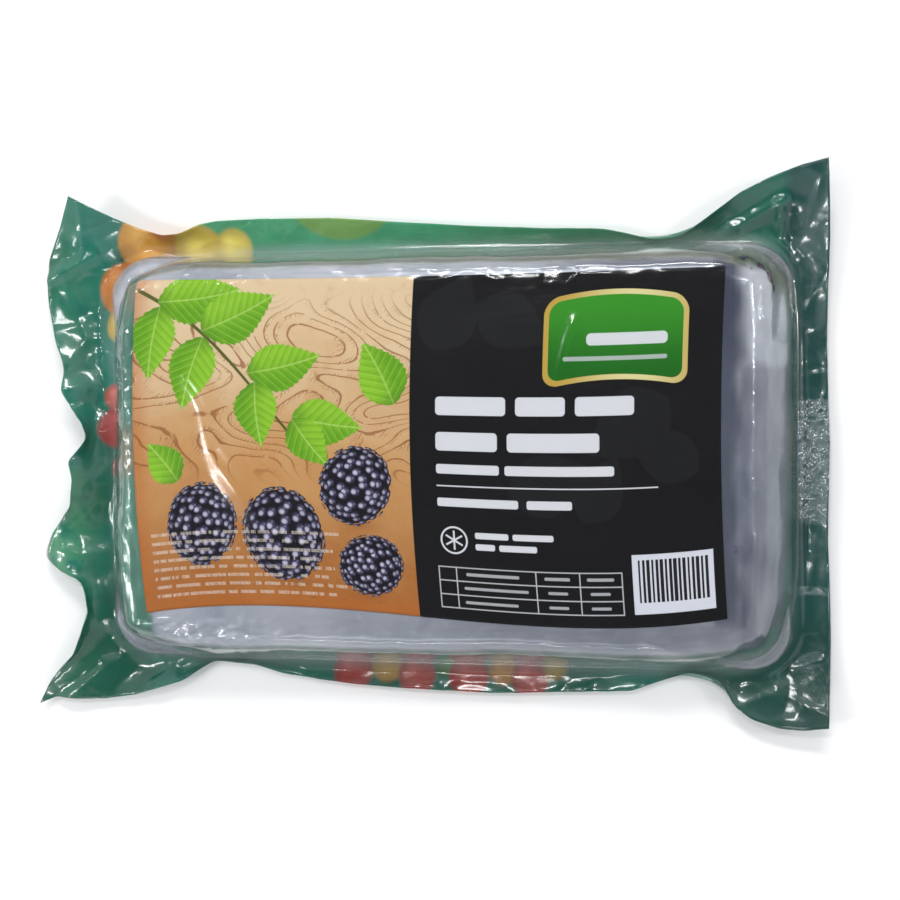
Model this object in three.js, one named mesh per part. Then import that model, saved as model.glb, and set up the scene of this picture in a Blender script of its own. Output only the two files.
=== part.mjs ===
// Vacuum-sealed pouch of frozen blackberries, lying on its printed back web.
//
// The berries lie in one layer in an inner wrap of two thin grey webs. A paper
// label lies on the wrap, and an outer pouch of a printed back web and a clear
// front web is drawn down over both and sealed around a wide, puckered margin.
//
// Millimetres, +X along the pouch's length, +Y across it, +Z up.
// Origin: middle of the outer footprint, on the flat underside of the back web.

import * as THREE from 'three';

// ---- driving dimensions (mm) ----------------------------------------------
const OUTER_WEB_T = 0.3;      // outer webs
const INNER_WEB_T = 0.25;     // inner wrap webs
const LABEL_T = 0.25;         // label sheet
const GAP = 0.35;             // between webs that press on each other

const BED_CX = 9.5;           // middle of the bed of berries
const BED_CY = -2.75;
const BED_HX = 120.0;         // half length and half width of the bed
const BED_HY = 69.75;
const BED_R = 9.0;            // its corner radius

const BERRY_Z0 = OUTER_WEB_T + INNER_WEB_T + 2 * GAP;   // underside of the berries
const WRAP_TOP_Z = 23.85;     // top face of the inner wrap
const POUCH_TOP_Z = 25.1;     // top face of the clear outer web

const LABEL_CX = 5.3;         // label sheet
const LABEL_CY = 0.9;
const LABEL_W = 213.5;
const LABEL_H = 122.4;

// Free edge of the pouch, counter-clockwise from above: x, y and the height
// of the back web there. The margin is puckered, so it isn't a rectangle.
const EDGE = [
  [-133.1, 96.4, 14], [-138.9, 85.3, 9], [-145, 73.1, 6], [-145.4, 57.9, 6], [-141.1, 40.4, 8], [-136.2, 31.6, 11],
  [-137, 22, 11], [-134.5, 16.9, 12], [-127.7, 10.3, 15], [-123.2, 4.2, 15], [-128.2, -0.4, 14], [-134.7, -5, 10],
  [-133.4, -12.3, 10], [-134.8, -22.8, 9], [-143.8, -33.6, 6], [-147.2, -42.3, 5], [-139.4, -47.8, 8], [-128.8, -51, 12],
  [-124.9, -55.7, 14], [-124.1, -62.9, 14], [-129.3, -71.5, 11], [-133.5, -80.1, 9], [-140.3, -86.4, 7], [-145.4, -92.6, 6],
  [-149.8, -100.2, 4], [-142.3, -97.2, 4], [-133.9, -97.7, 4], [-121.9, -97.4, 4], [-109.2, -95.2, 5], [-99.4, -92, 6],
  [-89.7, -89, 6], [-83.7, -84.8, 5], [-78.4, -81.6, 3], [-70.4, -82.1, 3], [-62, -82.6, 3], [-50.9, -85.8, 3],
  [-36.6, -87.4, 4], [-23, -88.9, 4], [1.9, -90, 4], [29.7, -90.7, 4], [54, -89.5, 4], [80.1, -88.3, 4],
  [90.2, -84.4, 4], [100.5, -80.9, 4], [106.1, -81.8, 4], [111, -83.2, 5], [113.7, -87.3, 6], [116.1, -92.2, 6],
  [122.3, -96.7, 7], [131.9, -99.6, 7], [140.3, -99.8, 8], [148.2, -98.3, 10], [149.2, -85.4, 6], [149.8, -68.1, 4],
  [149.5, -50.4, 4], [148.6, -32.6, 5], [148.8, -14.9, 6], [149.3, 2.8, 5], [148.8, 20.5, 4], [148.5, 38.2, 4],
  [148.5, 55.7, 6], [148.7, 72.8, 9], [148.2, 86.2, 12], [147.2, 100.2, 16], [137.9, 98.5, 13], [128.7, 95.5, 11],
  [118.5, 90.8, 10], [107.4, 82.4, 11], [97.6, 76.2, 4], [87.3, 75.4, 4], [79.4, 77.4, 6], [70.5, 79.1, 8],
  [46.9, 80.3, 7], [21.9, 81.8, 7], [-5.3, 84.2, 6], [-30.6, 86.5, 6], [-59.5, 87, 6], [-76.9, 86.5, 7],
  [-83.7, 85, 8], [-90.1, 80.8, 11], [-96.1, 80.6, 11], [-105.8, 83.7, 10], [-115.5, 87.8, 10], [-124.3, 91.9, 12],
];
const EDGE_CORNERS = [0, 24, 51, 63];

// One row per berry: x, y, heading in degrees, length, width and height.
const BERRIES = [
  [-96.4, -60.6, 173.9, 28, 23.4, 20.8], [-70.2, -60.1, 131.1, 26.1, 21.9, 20.9], [-44.4, -60.4, 158.3, 28.1, 22.2, 21],
  [-19.2, -60.1, 102.2, 24.3, 22.1, 21.1], [5.2, -60.1, 150.9, 26.6, 23.8, 21.7], [32.1, -59.9, 59.8, 25.6, 22.4, 21.6],
  [59, -59.8, 136.2, 27.4, 22.5, 21.6], [85.7, -60.2, 136.9, 24.7, 23.8, 21.4], [110.2, -58.7, 109.9, 27.7, 23.6, 20.6],
  [-97.6, -36.9, 150.9, 26.3, 22.3, 20.9], [-64.4, -36.5, 121.5, 27.8, 22, 21.2], [-36.1, -37.5, 43.9, 26, 23.4, 21.7],
  [-10.5, -38.2, 9.3, 25.8, 21.5, 21], [15.8, -36.4, 57.7, 27.3, 22.3, 21.3], [41.4, -35.1, 33.6, 28.1, 23.6, 21.6],
  [69.7, -37.7, 162.9, 25.6, 23.7, 21], [93.6, -35.2, 96, 28.1, 21.8, 21.5], [117, -34.7, 132, 27.9, 21.4, 21.3],
  [-98, -13.2, 172.5, 24.7, 23.3, 21.2], [-72.9, -11.2, 143.7, 26.6, 22.9, 21.4], [-46.7, -15.2, 156, 27, 21.8, 21.2],
  [-21.9, -15.4, 101.5, 28, 22.6, 20.7], [5, -13.5, 138.2, 26.8, 21.4, 21.7], [30.5, -13.3, 172.5, 24.6, 23.1, 21.8],
  [56.3, -12.7, 80.2, 26.1, 22.6, 21.6], [80.1, -11.6, 125.6, 26.1, 23.1, 21], [105.6, -12.1, 170.7, 26.1, 21.4, 21.4],
  [-91.5, 11, 36, 28, 22.9, 21.5], [-60.4, 9, 10.8, 25.5, 22.2, 20.7], [-36, 8.3, 86.3, 24.9, 22.5, 21.5],
  [-11.4, 7, 160.6, 26.2, 22.1, 20.7], [15.3, 8.5, 92.8, 26.7, 22.9, 21.7], [40.2, 10.1, 36.6, 27.9, 22.7, 20.9],
  [66.9, 10.1, 176.9, 26.4, 22.9, 21.8], [93.4, 8.7, 83.9, 25.1, 21.4, 20.9], [118.2, 9.8, 77.6, 27.9, 21.8, 21.2],
  [-97.3, 33.1, 13, 26.1, 21.4, 21.6], [-72.9, 31.9, 76.5, 26.8, 22.2, 21.8], [-48.2, 29.4, 177.2, 26, 22.5, 21.4],
  [-21, 29.4, 76.6, 24.9, 21.5, 21.6], [2.8, 32, 141.6, 26.9, 23, 21.1], [29.3, 32.1, 166.7, 27.2, 22.5, 21.5],
  [55.7, 32.1, 1.5, 24.8, 22.6, 21.1], [80.5, 30.4, 123.1, 25.9, 22.8, 21.7], [105.4, 30.9, 28.9, 25.5, 23.7, 21.5],
  [-86, 54.5, 97.9, 24.7, 22.8, 21.1], [-62.2, 55.7, 152.7, 24.9, 21.5, 21.5], [-38.5, 53.3, 65.2, 28, 21.6, 20.7],
  [-14.1, 53.8, 129.3, 27.7, 23.1, 21.7], [15, 54.7, 50.2, 25.6, 22.1, 21.4], [41.7, 53.4, 108.7, 27.1, 23.2, 21],
  [65.6, 55, 131.9, 24.2, 22.6, 21.4], [91.5, 53, 98.2, 27.8, 22.2, 21.5], [117.2, 54, 58.4, 26.3, 23.2, 21.4],
];

// ---- loops ------------------------------------------------------------------

// Share of the way along its side for each point of the free edge.
function edgeParams() {
  const n = EDGE.length;
  const out = [];
  for (let s = 0; s < 4; s++) {
    const a = EDGE_CORNERS[s];
    const b = s < 3 ? EDGE_CORNERS[s + 1] : n;
    const len = [0];
    for (let i = a; i < b; i++) {
      const p = EDGE[i], q = EDGE[(i + 1) % n];
      len.push(len[len.length - 1] + Math.hypot(q[0] - p[0], q[1] - p[1]));
    }
    for (let i = a; i < b; i++) out.push([s, len[i - a] / len[b - a]]);
  }
  return out;
}

// Evenly spread sides for the inner wrap: n points on each of the four sides.
function evenParams(nx, ny) {
  const out = [];
  for (let s = 0; s < 4; s++) {
    const n = s % 2 ? nx : ny;
    for (let i = 0; i < n; i++) out.push([s, i / n]);
  }
  return out;
}

// A rounded rectangle around the bed, grown by `grow`, sampled at the params.
// Side 0 runs down the left, 1 along the front, 2 up the right, 3 back along
// the top; each side starts and ends in the middle of a corner's arc.
function loop(params, grow) {
  const hx = BED_HX + grow, hy = BED_HY + grow, r = Math.max(BED_R + grow, 4);
  const q = Math.PI / 4;
  return params.map(([s, t]) => {
    const half = s % 2 ? hx : hy;
    const arc = r * q;
    const straight = 2 * (half - r);
    const d = t * (straight + 2 * arc);
    let along, out;                       // along the side, and outwards
    if (d < arc) {
      const a = q - d / r;
      along = -(half - r) - r * Math.sin(a);
      out = r * Math.cos(a) - r;
    } else if (d <= arc + straight) {
      along = -(half - r) + (d - arc);
      out = 0;
    } else {
      const a = (d - arc - straight) / r;
      along = half - r + r * Math.sin(a);
      out = r * Math.cos(a) - r;
    }
    const p = [[-(hx + out), -along], [along, -(hy + out)], [hx + out, along], [-along, hy + out]][s];
    return [BED_CX + p[0], BED_CY + p[1]];
  });
}

const at = (points, z) => points.map((p) => [p[0], p[1], z]);
const lift = (ring, dz) => ring.map((p) => [p[0], p[1], p[2] + dz]);
const mix = (ringA, ringB, t, zt) => ringA.map((a, i) => {
  const b = ringB[i];
  return [a[0] + (b[0] - a[0]) * t, a[1] + (b[1] - a[1]) * t, a[2] + (b[2] - a[2]) * zt];
});

// A sheet with an upper and a lower skin. Each skin is a list of rings, from
// the innermost, which is closed by a flat face, to the free edge.
function sheet(upper, lower) {
  const pos = [], index = [];
  const add = (ring) => {
    const base = pos.length / 3;
    for (const p of ring) pos.push(p[0], p[1], p[2]);
    return base;
  };
  const n = upper[0].length;
  const flat = THREE.ShapeUtils.triangulateShape(
    upper[0].map((p) => new THREE.Vector2(p[0], p[1])), []);
  const skin = (rings, flip) => {
    const bases = rings.map(add);
    for (const [a, b, c] of flat) {
      if (flip) index.push(bases[0] + a, bases[0] + c, bases[0] + b);
      else index.push(bases[0] + a, bases[0] + b, bases[0] + c);
    }
    for (let k = 0; k + 1 < rings.length; k++) {
      for (let i = 0; i < n; i++) {
        const j = (i + 1) % n;
        const a = bases[k] + i, b = bases[k] + j, c = bases[k + 1] + i, d = bases[k + 1] + j;
        if (flip) index.push(a, b, c, b, d, c);
        else index.push(a, c, b, b, c, d);
      }
    }
    return bases[rings.length - 1];
  };
  const up = skin(upper, false);
  const lo = skin(lower, true);
  for (let i = 0; i < n; i++) {
    const j = (i + 1) % n;
    index.push(up + i, lo + i, up + j, up + j, lo + i, lo + j);
  }
  const g = new THREE.BufferGeometry();
  g.setAttribute('position', new THREE.Float32BufferAttribute(pos, 3));
  g.setIndex(index);
  g.computeVertexNormals();
  return g;
}

// ---- materials --------------------------------------------------------------

const film = (color, roughness, opacity) => new THREE.MeshStandardMaterial({
  color, roughness, metalness: 0, opacity, transparent: opacity < 1, side: THREE.DoubleSide,
});
const printedWeb = film(0x1d8a66, 0.32, 1);
const clearWeb = film(0xdfe9e6, 0.14, 0.28);
const wrapWeb = film(0xa4a9b0, 0.3, 0.92);
const labelPaper = new THREE.MeshStandardMaterial({ color: 0x8e7350, roughness: 0.45, metalness: 0 });
const berrySkin = new THREE.MeshStandardMaterial({ color: 0x1c1622, roughness: 0.38, metalness: 0 });

const pouch = new THREE.Group();
function piece(name, geometry, material) {
  const m = new THREE.Mesh(geometry, material);
  m.name = name;
  pouch.add(m);
  return m;
}

// ---- outer pouch --------------------------------------------------------------

const edge = edgeParams();
const edgeRing = EDGE.map((p) => [...p]);
const foot = at(loop(edge, 6.5), 0);                 // where the margin leaves the flat
const margin = [foot, mix(foot, edgeRing, 0.5, 0.38), edgeRing];

// Back web: flat underneath, rising in its margin.
piece('outer_back_film', sheet(
  margin.map((ring) => lift(ring, OUTER_WEB_T)),
  margin,
), printedWeb);

// Front web: drawn over the label and the wrap's shoulders, then lying on the
// back web's margin.
const frontDz = OUTER_WEB_T + GAP;
piece('outer_front_film', sheet(
  [
    at(loop(edge, -1.6), POUCH_TOP_Z),
    at(loop(edge, 1.8), 21.0),
    at(loop(edge, 3.3), 13.0),
    ...margin.map((ring) => lift(ring, frontDz + OUTER_WEB_T)),
  ],
  [
    at(loop(edge, -1.7), POUCH_TOP_Z - OUTER_WEB_T),
    at(loop(edge, 1.54), 20.85),
    at(loop(edge, 3.0), 12.92),
    ...margin.map((ring) => lift(ring, frontDz)),
  ],
), clearWeb);

// ---- inner wrap ---------------------------------------------------------------

const wrap = evenParams(16, 10);
const wrapZ = OUTER_WEB_T + GAP;                     // underside of the wrap's back web
const hemZ = wrapZ + INNER_WEB_T + GAP;              // underside of its front web's hem
piece('inner_back_film', sheet(
  [at(loop(wrap, 2.0), wrapZ + INNER_WEB_T), at(loop(wrap, 5.0), wrapZ + INNER_WEB_T)],
  [at(loop(wrap, 2.0), wrapZ), at(loop(wrap, 5.0), wrapZ)],
), wrapWeb);
piece('inner_front_film', sheet(
  [
    at(loop(wrap, -3.2), WRAP_TOP_Z),
    at(loop(wrap, 0.3), 19.6),
    at(loop(wrap, 1.7), 13.0),
    at(loop(wrap, 2.4), hemZ + INNER_WEB_T),
    at(loop(wrap, 5.0), hemZ + INNER_WEB_T),
  ],
  [
    at(loop(wrap, -3.3), WRAP_TOP_Z - INNER_WEB_T),
    at(loop(wrap, 0.08), 19.48),
    at(loop(wrap, 1.46), 12.95),
    at(loop(wrap, 2.15), hemZ),
    at(loop(wrap, 5.0), hemZ),
  ],
), wrapWeb);

// ---- label ----------------------------------------------------------------------

{
  const z0 = WRAP_TOP_Z + GAP;
  const g = new THREE.BoxGeometry(LABEL_W, LABEL_H, LABEL_T, 1, 1, 1);
  const m = piece('label', g, labelPaper);
  m.position.set(LABEL_CX, LABEL_CY, z0 + LABEL_T / 2);
}

// ---- berries ----------------------------------------------------------------------

// A blunt ovoid: fuller at the stalk end, narrower at the tip.
function berryGeometry(length, width, height) {
  const g = new THREE.SphereGeometry(1, 8, 8);
  g.rotateZ(Math.PI / 2);                            // poles along X
  const p = g.attributes.position;
  for (let i = 0; i < p.count; i++) {
    const x = p.getX(i), y = p.getY(i), z = p.getZ(i);
    const r = Math.hypot(y, z);
    const full = r > 1e-6 ? Math.pow(1 - Math.pow(Math.abs(x), 2.1), 1 / 2.1) / r : 0;
    const k = r > 1e-6 ? full * (1 - 0.05 * x) / 1.02 : 0;
    p.setXYZ(i, x * length / 2, y * k * width / 2, z * k * height / 2);
  }
  g.computeVertexNormals();
  return g;
}

BERRIES.forEach(([x, y, heading, length, width, height], i) => {
  const m = piece('berry_' + String(i + 1).padStart(2, '0'), berryGeometry(length, width, height), berrySkin);
  m.rotation.z = THREE.MathUtils.degToRad(heading);
  m.position.set(x, y, BERRY_Z0 + height / 2);
});

export default pouch;
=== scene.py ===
# Vacuum-sealed pouch of frozen fruit: printed back web, clear front
# web, grey inner wrap, paper label and berries, lying on a pale floor.
import bpy, bmesh, math
import numpy as np
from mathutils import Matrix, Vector


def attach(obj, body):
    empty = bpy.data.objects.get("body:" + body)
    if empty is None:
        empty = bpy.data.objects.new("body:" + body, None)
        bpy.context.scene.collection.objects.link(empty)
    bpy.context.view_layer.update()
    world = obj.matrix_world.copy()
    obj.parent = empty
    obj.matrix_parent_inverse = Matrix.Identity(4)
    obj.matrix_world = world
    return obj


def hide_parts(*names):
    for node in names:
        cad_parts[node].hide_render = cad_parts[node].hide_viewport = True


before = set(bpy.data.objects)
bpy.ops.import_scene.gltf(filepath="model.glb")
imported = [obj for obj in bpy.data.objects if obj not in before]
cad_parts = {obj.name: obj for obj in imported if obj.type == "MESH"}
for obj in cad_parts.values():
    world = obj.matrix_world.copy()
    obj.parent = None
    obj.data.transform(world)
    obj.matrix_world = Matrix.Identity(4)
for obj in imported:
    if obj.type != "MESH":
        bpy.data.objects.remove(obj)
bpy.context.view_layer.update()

MM = 0.001
scene = bpy.context.scene

# ----------------------------------------------------------------------------
# camera: looks straight down, turned 8.7 degrees towards +X
# ----------------------------------------------------------------------------
TILT = math.radians(8.7)
TARGET = np.array([13.83, -0.76, 8.0])
DIST = 432.0
FOCAL_PX = 1172.0
EYE = TARGET + DIST * np.array([math.sin(TILT), 0.0, math.cos(TILT)])
cam_data = bpy.data.cameras.new("camera")
cam_data.sensor_width = 36.0
cam_data.lens = FOCAL_PX / 900.0 * 36.0
cam = bpy.data.objects.new("camera", cam_data)
cam.location = Vector(EYE * MM)
cam.rotation_euler = (0.0, TILT, 0.0)
cam_data.clip_start = 0.01
scene.collection.objects.link(cam)
scene.camera = cam
scene.view_settings.view_transform = "Standard"
scene.cycles.transparent_max_bounces = 40      # several clear layers lie over each other


def spot(u, v, z):
    """Row-frame x, y of the point seen at frame position u, v, at height z."""
    c, s = math.cos(TILT), math.sin(TILT)
    d = np.array([(u - 450.0) / FOCAL_PX, (450.0 - v) / FOCAL_PX, -1.0])
    w = np.array([c * d[0] + s * d[2], d[1], -s * d[0] + c * d[2]])
    t = (z - EYE[2]) / w[2]
    p = EYE + w * t
    return float(p[0]), float(p[1])


# ----------------------------------------------------------------------------
# small numeric helpers
# ----------------------------------------------------------------------------
def perlin(x, y, seed=0):
    r = np.random.default_rng(seed)
    n = 256
    perm = r.permutation(n)
    ang = r.uniform(0, 2 * np.pi, n)
    gx, gy = np.cos(ang), np.sin(ang)
    xi, yi = np.floor(x).astype(int), np.floor(y).astype(int)
    xf, yf = x - xi, y - yi

    def g(ix, iy, dx, dy):
        h = perm[(perm[ix % n] + iy) % n]
        return gx[h] * dx + gy[h] * dy

    u = xf ** 3 * (xf * (xf * 6 - 15) + 10)
    v = yf ** 3 * (yf * (yf * 6 - 15) + 10)
    a, b = g(xi, yi, xf, yf), g(xi + 1, yi, xf - 1, yf)
    c, d = g(xi, yi + 1, xf, yf - 1), g(xi + 1, yi + 1, xf - 1, yf - 1)
    top = a + (b - a) * u
    return top + ((c + (d - c) * u) - top) * v


def fbm(x, y, seed=0, octaves=3):
    total, amp = 0.0, 1.0
    for k in range(octaves):
        total = total + amp * perlin(x * 2 ** k, y * 2 ** k, seed + 17 * k)
        amp *= 0.5
    return total


def crumple(x, y, cell, seed, angle=0.0, stretch=1.0):
    """Flat facets that meet in straight creases: 0 on a crease, up to about 1 inside a facet."""
    c, s = math.cos(angle), math.sin(angle)
    u = (c * x + s * y) / (cell * stretch)
    v = (-s * x + c * y) / cell
    r = np.random.default_rng(seed)
    iu, iv = np.floor(u).astype(int), np.floor(v).astype(int)
    n = 97
    jx, jy = r.uniform(0.05, 0.95, (n, n)), r.uniform(0.05, 0.95, (n, n))
    best = np.full(u.shape, 9.0)
    second = np.full(u.shape, 9.0)
    for a in (-2, -1, 0, 1, 2):
        for b in (-2, -1, 0, 1, 2):
            cu, cv = iu + a, iv + b
            du = cu + jx[cu % n, cv % n] - u
            dv = cv + jy[cu % n, cv % n] - v
            d = np.hypot(du, dv)
            second = np.minimum(second, np.maximum(best, d))
            best = np.minimum(best, d)
    return second - best


def smooth(e0, e1, x):
    t = np.clip((x - e0) / (e1 - e0), 0, 1)
    return t * t * (3 - 2 * t)


def tent(x, y, p, q, amp, width, sharp=1.0):
    """A raised fold along the segment p-q, fading at both ends."""
    p, q = np.array(p, float), np.array(q, float)
    d = q - p
    ln = np.hypot(*d)
    d /= ln
    along = (x - p[0]) * d[0] + (y - p[1]) * d[1]
    t = np.clip(along / ln, 0, 1)
    dist = np.hypot(x - (p[0] + d[0] * t * ln), y - (p[1] + d[1] * t * ln))
    fade = np.clip(4 * t * (1 - t), 0, 1) ** 0.5 if sharp else 1.0
    return amp * np.clip(1 - dist / width, 0, 1) * fade


def ridge(x, y, points):
    """A rounded fold that runs through points of x, y, height and half width."""
    best, h, w = np.full(x.shape, 1e9), np.zeros(x.shape), np.ones(x.shape)
    for (x0, y0, h0, w0), (x1, y1, h1, w1) in zip(points[:-1], points[1:]):
        dx, dy = x1 - x0, y1 - y0
        t = np.clip(((x - x0) * dx + (y - y0) * dy) / (dx * dx + dy * dy), 0, 1)
        dist = np.hypot(x - (x0 + dx * t), y - (y0 + dy * t))
        nearer = dist < best
        best = np.where(nearer, dist, best)
        h = np.where(nearer, h0 + (h1 - h0) * t, h)
        w = np.where(nearer, w0 + (w1 - w0) * t, w)
    return h * np.exp(-(best / w) ** 2)


def creased(x, y, cell, seed, angle=0.0, stretch=1.0, width=0.16):
    """Mostly level film with thin straight ridges where its facets meet."""
    f = crumple(x, y, cell, seed, angle, stretch)
    return 0.45 * f + np.exp(-f / width)


def blur2(a, n=1):
    for _ in range(n):
        b = np.pad(a, 1, mode="edge")
        a = (b[:-2, 1:-1] + b[2:, 1:-1] + b[1:-1, :-2] + b[1:-1, 2:] + 4 * b[1:-1, 1:-1]) / 8
    return a


# ----------------------------------------------------------------------------
# measured shape (mm)
# ----------------------------------------------------------------------------
EDGE = [
    (-133.1, 96.4, 14), (-138.9, 85.3, 9), (-145, 73.1, 6), (-145.4, 57.9, 6), (-141.1, 40.4, 8), (-136.2, 31.6, 11),
    (-137, 22, 11), (-134.5, 16.9, 12), (-127.7, 10.3, 15), (-123.2, 4.2, 15), (-128.2, -0.4, 14), (-134.7, -5, 10),
    (-133.4, -12.3, 10), (-134.8, -22.8, 9), (-143.8, -33.6, 6), (-147.2, -42.3, 5), (-139.4, -47.8, 8), (-128.8, -51, 12),
    (-124.9, -55.7, 14), (-124.1, -62.9, 14), (-129.3, -71.5, 11), (-133.5, -80.1, 9), (-140.3, -86.4, 7), (-145.4, -92.6, 6),
    (-149.8, -100.2, 4), (-142.3, -97.2, 4), (-133.9, -97.7, 4), (-121.9, -97.4, 4), (-109.2, -95.2, 5), (-99.4, -92, 6),
    (-89.7, -89, 6), (-83.7, -84.8, 5), (-78.4, -81.6, 3), (-70.4, -82.1, 3), (-62, -82.6, 3), (-50.9, -85.8, 3),
    (-36.6, -87.4, 4), (-23, -88.9, 4), (1.9, -90, 4), (29.7, -90.7, 4), (54, -89.5, 4), (80.1, -88.3, 4),
    (90.2, -84.4, 4), (100.5, -80.9, 4), (106.1, -81.8, 4), (111, -83.2, 5), (113.7, -87.3, 6), (116.1, -92.2, 6),
    (122.3, -96.7, 7), (131.9, -99.6, 7), (140.3, -99.8, 8), (148.2, -98.3, 10), (149.2, -85.4, 6), (149.8, -68.1, 4),
    (149.5, -50.4, 4), (148.6, -32.6, 5), (148.8, -14.9, 6), (149.3, 2.8, 5), (148.8, 20.5, 4), (148.5, 38.2, 4),
    (148.5, 55.7, 6), (148.7, 72.8, 9), (148.2, 86.2, 12), (147.2, 100.2, 16), (137.9, 98.5, 13), (128.7, 95.5, 11),
    (118.5, 90.8, 10), (107.4, 82.4, 11), (97.6, 76.2, 4), (87.3, 75.4, 4), (79.4, 77.4, 6), (70.5, 79.1, 8),
    (46.9, 80.3, 7), (21.9, 81.8, 7), (-5.3, 84.2, 6), (-30.6, 86.5, 6), (-59.5, 87, 6), (-76.9, 86.5, 7),
    (-83.7, 85, 8), (-90.1, 80.8, 11), (-96.1, 80.6, 11), (-105.8, 83.7, 10), (-115.5, 87.8, 10), (-124.3, 91.9, 12),
]
CORNERS = [0, 24, 51, 63]
BED_C = (9.5, -2.75)
BED_H = (120.0, 69.75)
BED_R = 9.0
FOOT = 6.5
BERRIES = [
    (-96.4, -60.6, 173.9, 28, 23.4, 20.8), (-70.2, -60.1, 131.1, 26.1, 21.9, 20.9), (-44.4, -60.4, 158.3, 28.1, 22.2, 21),
    (-19.2, -60.1, 102.2, 24.3, 22.1, 21.1), (5.2, -60.1, 150.9, 26.6, 23.8, 21.7), (32.1, -59.9, 59.8, 25.6, 22.4, 21.6),
    (59, -59.8, 136.2, 27.4, 22.5, 21.6), (85.7, -60.2, 136.9, 24.7, 23.8, 21.4), (110.2, -58.7, 109.9, 27.7, 23.6, 20.6),
    (-97.6, -36.9, 150.9, 26.3, 22.3, 20.9), (-64.4, -36.5, 121.5, 27.8, 22, 21.2), (-36.1, -37.5, 43.9, 26, 23.4, 21.7),
    (-10.5, -38.2, 9.3, 25.8, 21.5, 21), (15.8, -36.4, 57.7, 27.3, 22.3, 21.3), (41.4, -35.1, 33.6, 28.1, 23.6, 21.6),
    (69.7, -37.7, 162.9, 25.6, 23.7, 21), (93.6, -35.2, 96, 28.1, 21.8, 21.5), (117, -34.7, 132, 27.9, 21.4, 21.3),
    (-98, -13.2, 172.5, 24.7, 23.3, 21.2), (-72.9, -11.2, 143.7, 26.6, 22.9, 21.4), (-46.7, -15.2, 156, 27, 21.8, 21.2),
    (-21.9, -15.4, 101.5, 28, 22.6, 20.7), (5, -13.5, 138.2, 26.8, 21.4, 21.7), (30.5, -13.3, 172.5, 24.6, 23.1, 21.8),
    (56.3, -12.7, 80.2, 26.1, 22.6, 21.6), (80.1, -11.6, 125.6, 26.1, 23.1, 21), (105.6, -12.1, 170.7, 26.1, 21.4, 21.4),
    (-91.5, 11, 36, 28, 22.9, 21.5), (-60.4, 9, 10.8, 25.5, 22.2, 20.7), (-36, 8.3, 86.3, 24.9, 22.5, 21.5),
    (-11.4, 7, 160.6, 26.2, 22.1, 20.7), (15.3, 8.5, 92.8, 26.7, 22.9, 21.7), (40.2, 10.1, 36.6, 27.9, 22.7, 20.9),
    (66.9, 10.1, 176.9, 26.4, 22.9, 21.8), (93.4, 8.7, 83.9, 25.1, 21.4, 20.9), (118.2, 9.8, 77.6, 27.9, 21.8, 21.2),
    (-97.3, 33.1, 13, 26.1, 21.4, 21.6), (-72.9, 31.9, 76.5, 26.8, 22.2, 21.8), (-48.2, 29.4, 177.2, 26, 22.5, 21.4),
    (-21, 29.4, 76.6, 24.9, 21.5, 21.6), (2.8, 32, 141.6, 26.9, 23, 21.1), (29.3, 32.1, 166.7, 27.2, 22.5, 21.5),
    (55.7, 32.1, 1.5, 24.8, 22.6, 21.1), (80.5, 30.4, 123.1, 25.9, 22.8, 21.7), (105.4, 30.9, 28.9, 25.5, 23.7, 21.5),
    (-86, 54.5, 97.9, 24.7, 22.8, 21.1), (-62.2, 55.7, 152.7, 24.9, 21.5, 21.5), (-38.5, 53.3, 65.2, 28, 21.6, 20.7),
    (-14.1, 53.8, 129.3, 27.7, 23.1, 21.7), (15, 54.7, 50.2, 25.6, 22.1, 21.4), (41.7, 53.4, 108.7, 27.1, 23.2, 21),
    (65.6, 55, 131.9, 24.2, 22.6, 21.4), (91.5, 53, 98.2, 27.8, 22.2, 21.5), (117.2, 54, 58.4, 26.3, 23.2, 21.4),
]


def sd_bed(x, y):
    """Signed distance from the bed's rounded outline, positive outside."""
    qx = np.abs(x - BED_C[0]) - BED_H[0] + BED_R
    qy = np.abs(y - BED_C[1]) - BED_H[1] + BED_R
    return np.hypot(np.maximum(qx, 0), np.maximum(qy, 0)) + np.minimum(np.maximum(qx, qy), 0) - BED_R


EASED = [(-110.5, 67.0, 4.2, 11.0), (-110.5, -72.5, 3.4, 12.0), (129.5, -72.5, 4.0, 13.0), (129.5, 67.0, 2.4, 11.0)]


def bed_gap(x, y):
    """As sd_bed, with each corner of the bed a little more worn back and a slightly wandering shoulder."""
    d = sd_bed(x, y)
    d = d + (0.9 * perlin(x / 27 + 2.2, y / 27, 91) + 0.45 * perlin(x / 10, y / 10 + 4.1, 92)) * smooth(-14, -5, d) * smooth(9, 3, d)
    for cx, cy, amount, reach in EASED:
        d = d + amount * np.exp(-((x - cx) ** 2 + (y - cy) ** 2) / (2 * reach ** 2))
    return d


def berry_top(x, y):
    """Height of the berries' upper side, 0 between them."""
    z = np.zeros(x.shape)
    for b in BERRIES:
        h = math.radians(b[2])
        du, dv = x - b[0], y - b[1]
        p, q = math.cos(h) * du + math.sin(h) * dv, -math.sin(h) * du + math.cos(h) * dv
        e = 1 - (p / (b[3] / 2)) ** 2 - (q / (b[4] / 2)) ** 2
        z = np.maximum(z, np.where(e > 0, 1.25 + b[5] / 2 + (b[5] - 0.9) / 2 * np.sqrt(np.clip(e, 0, 1)), 0))
    return z


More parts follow.
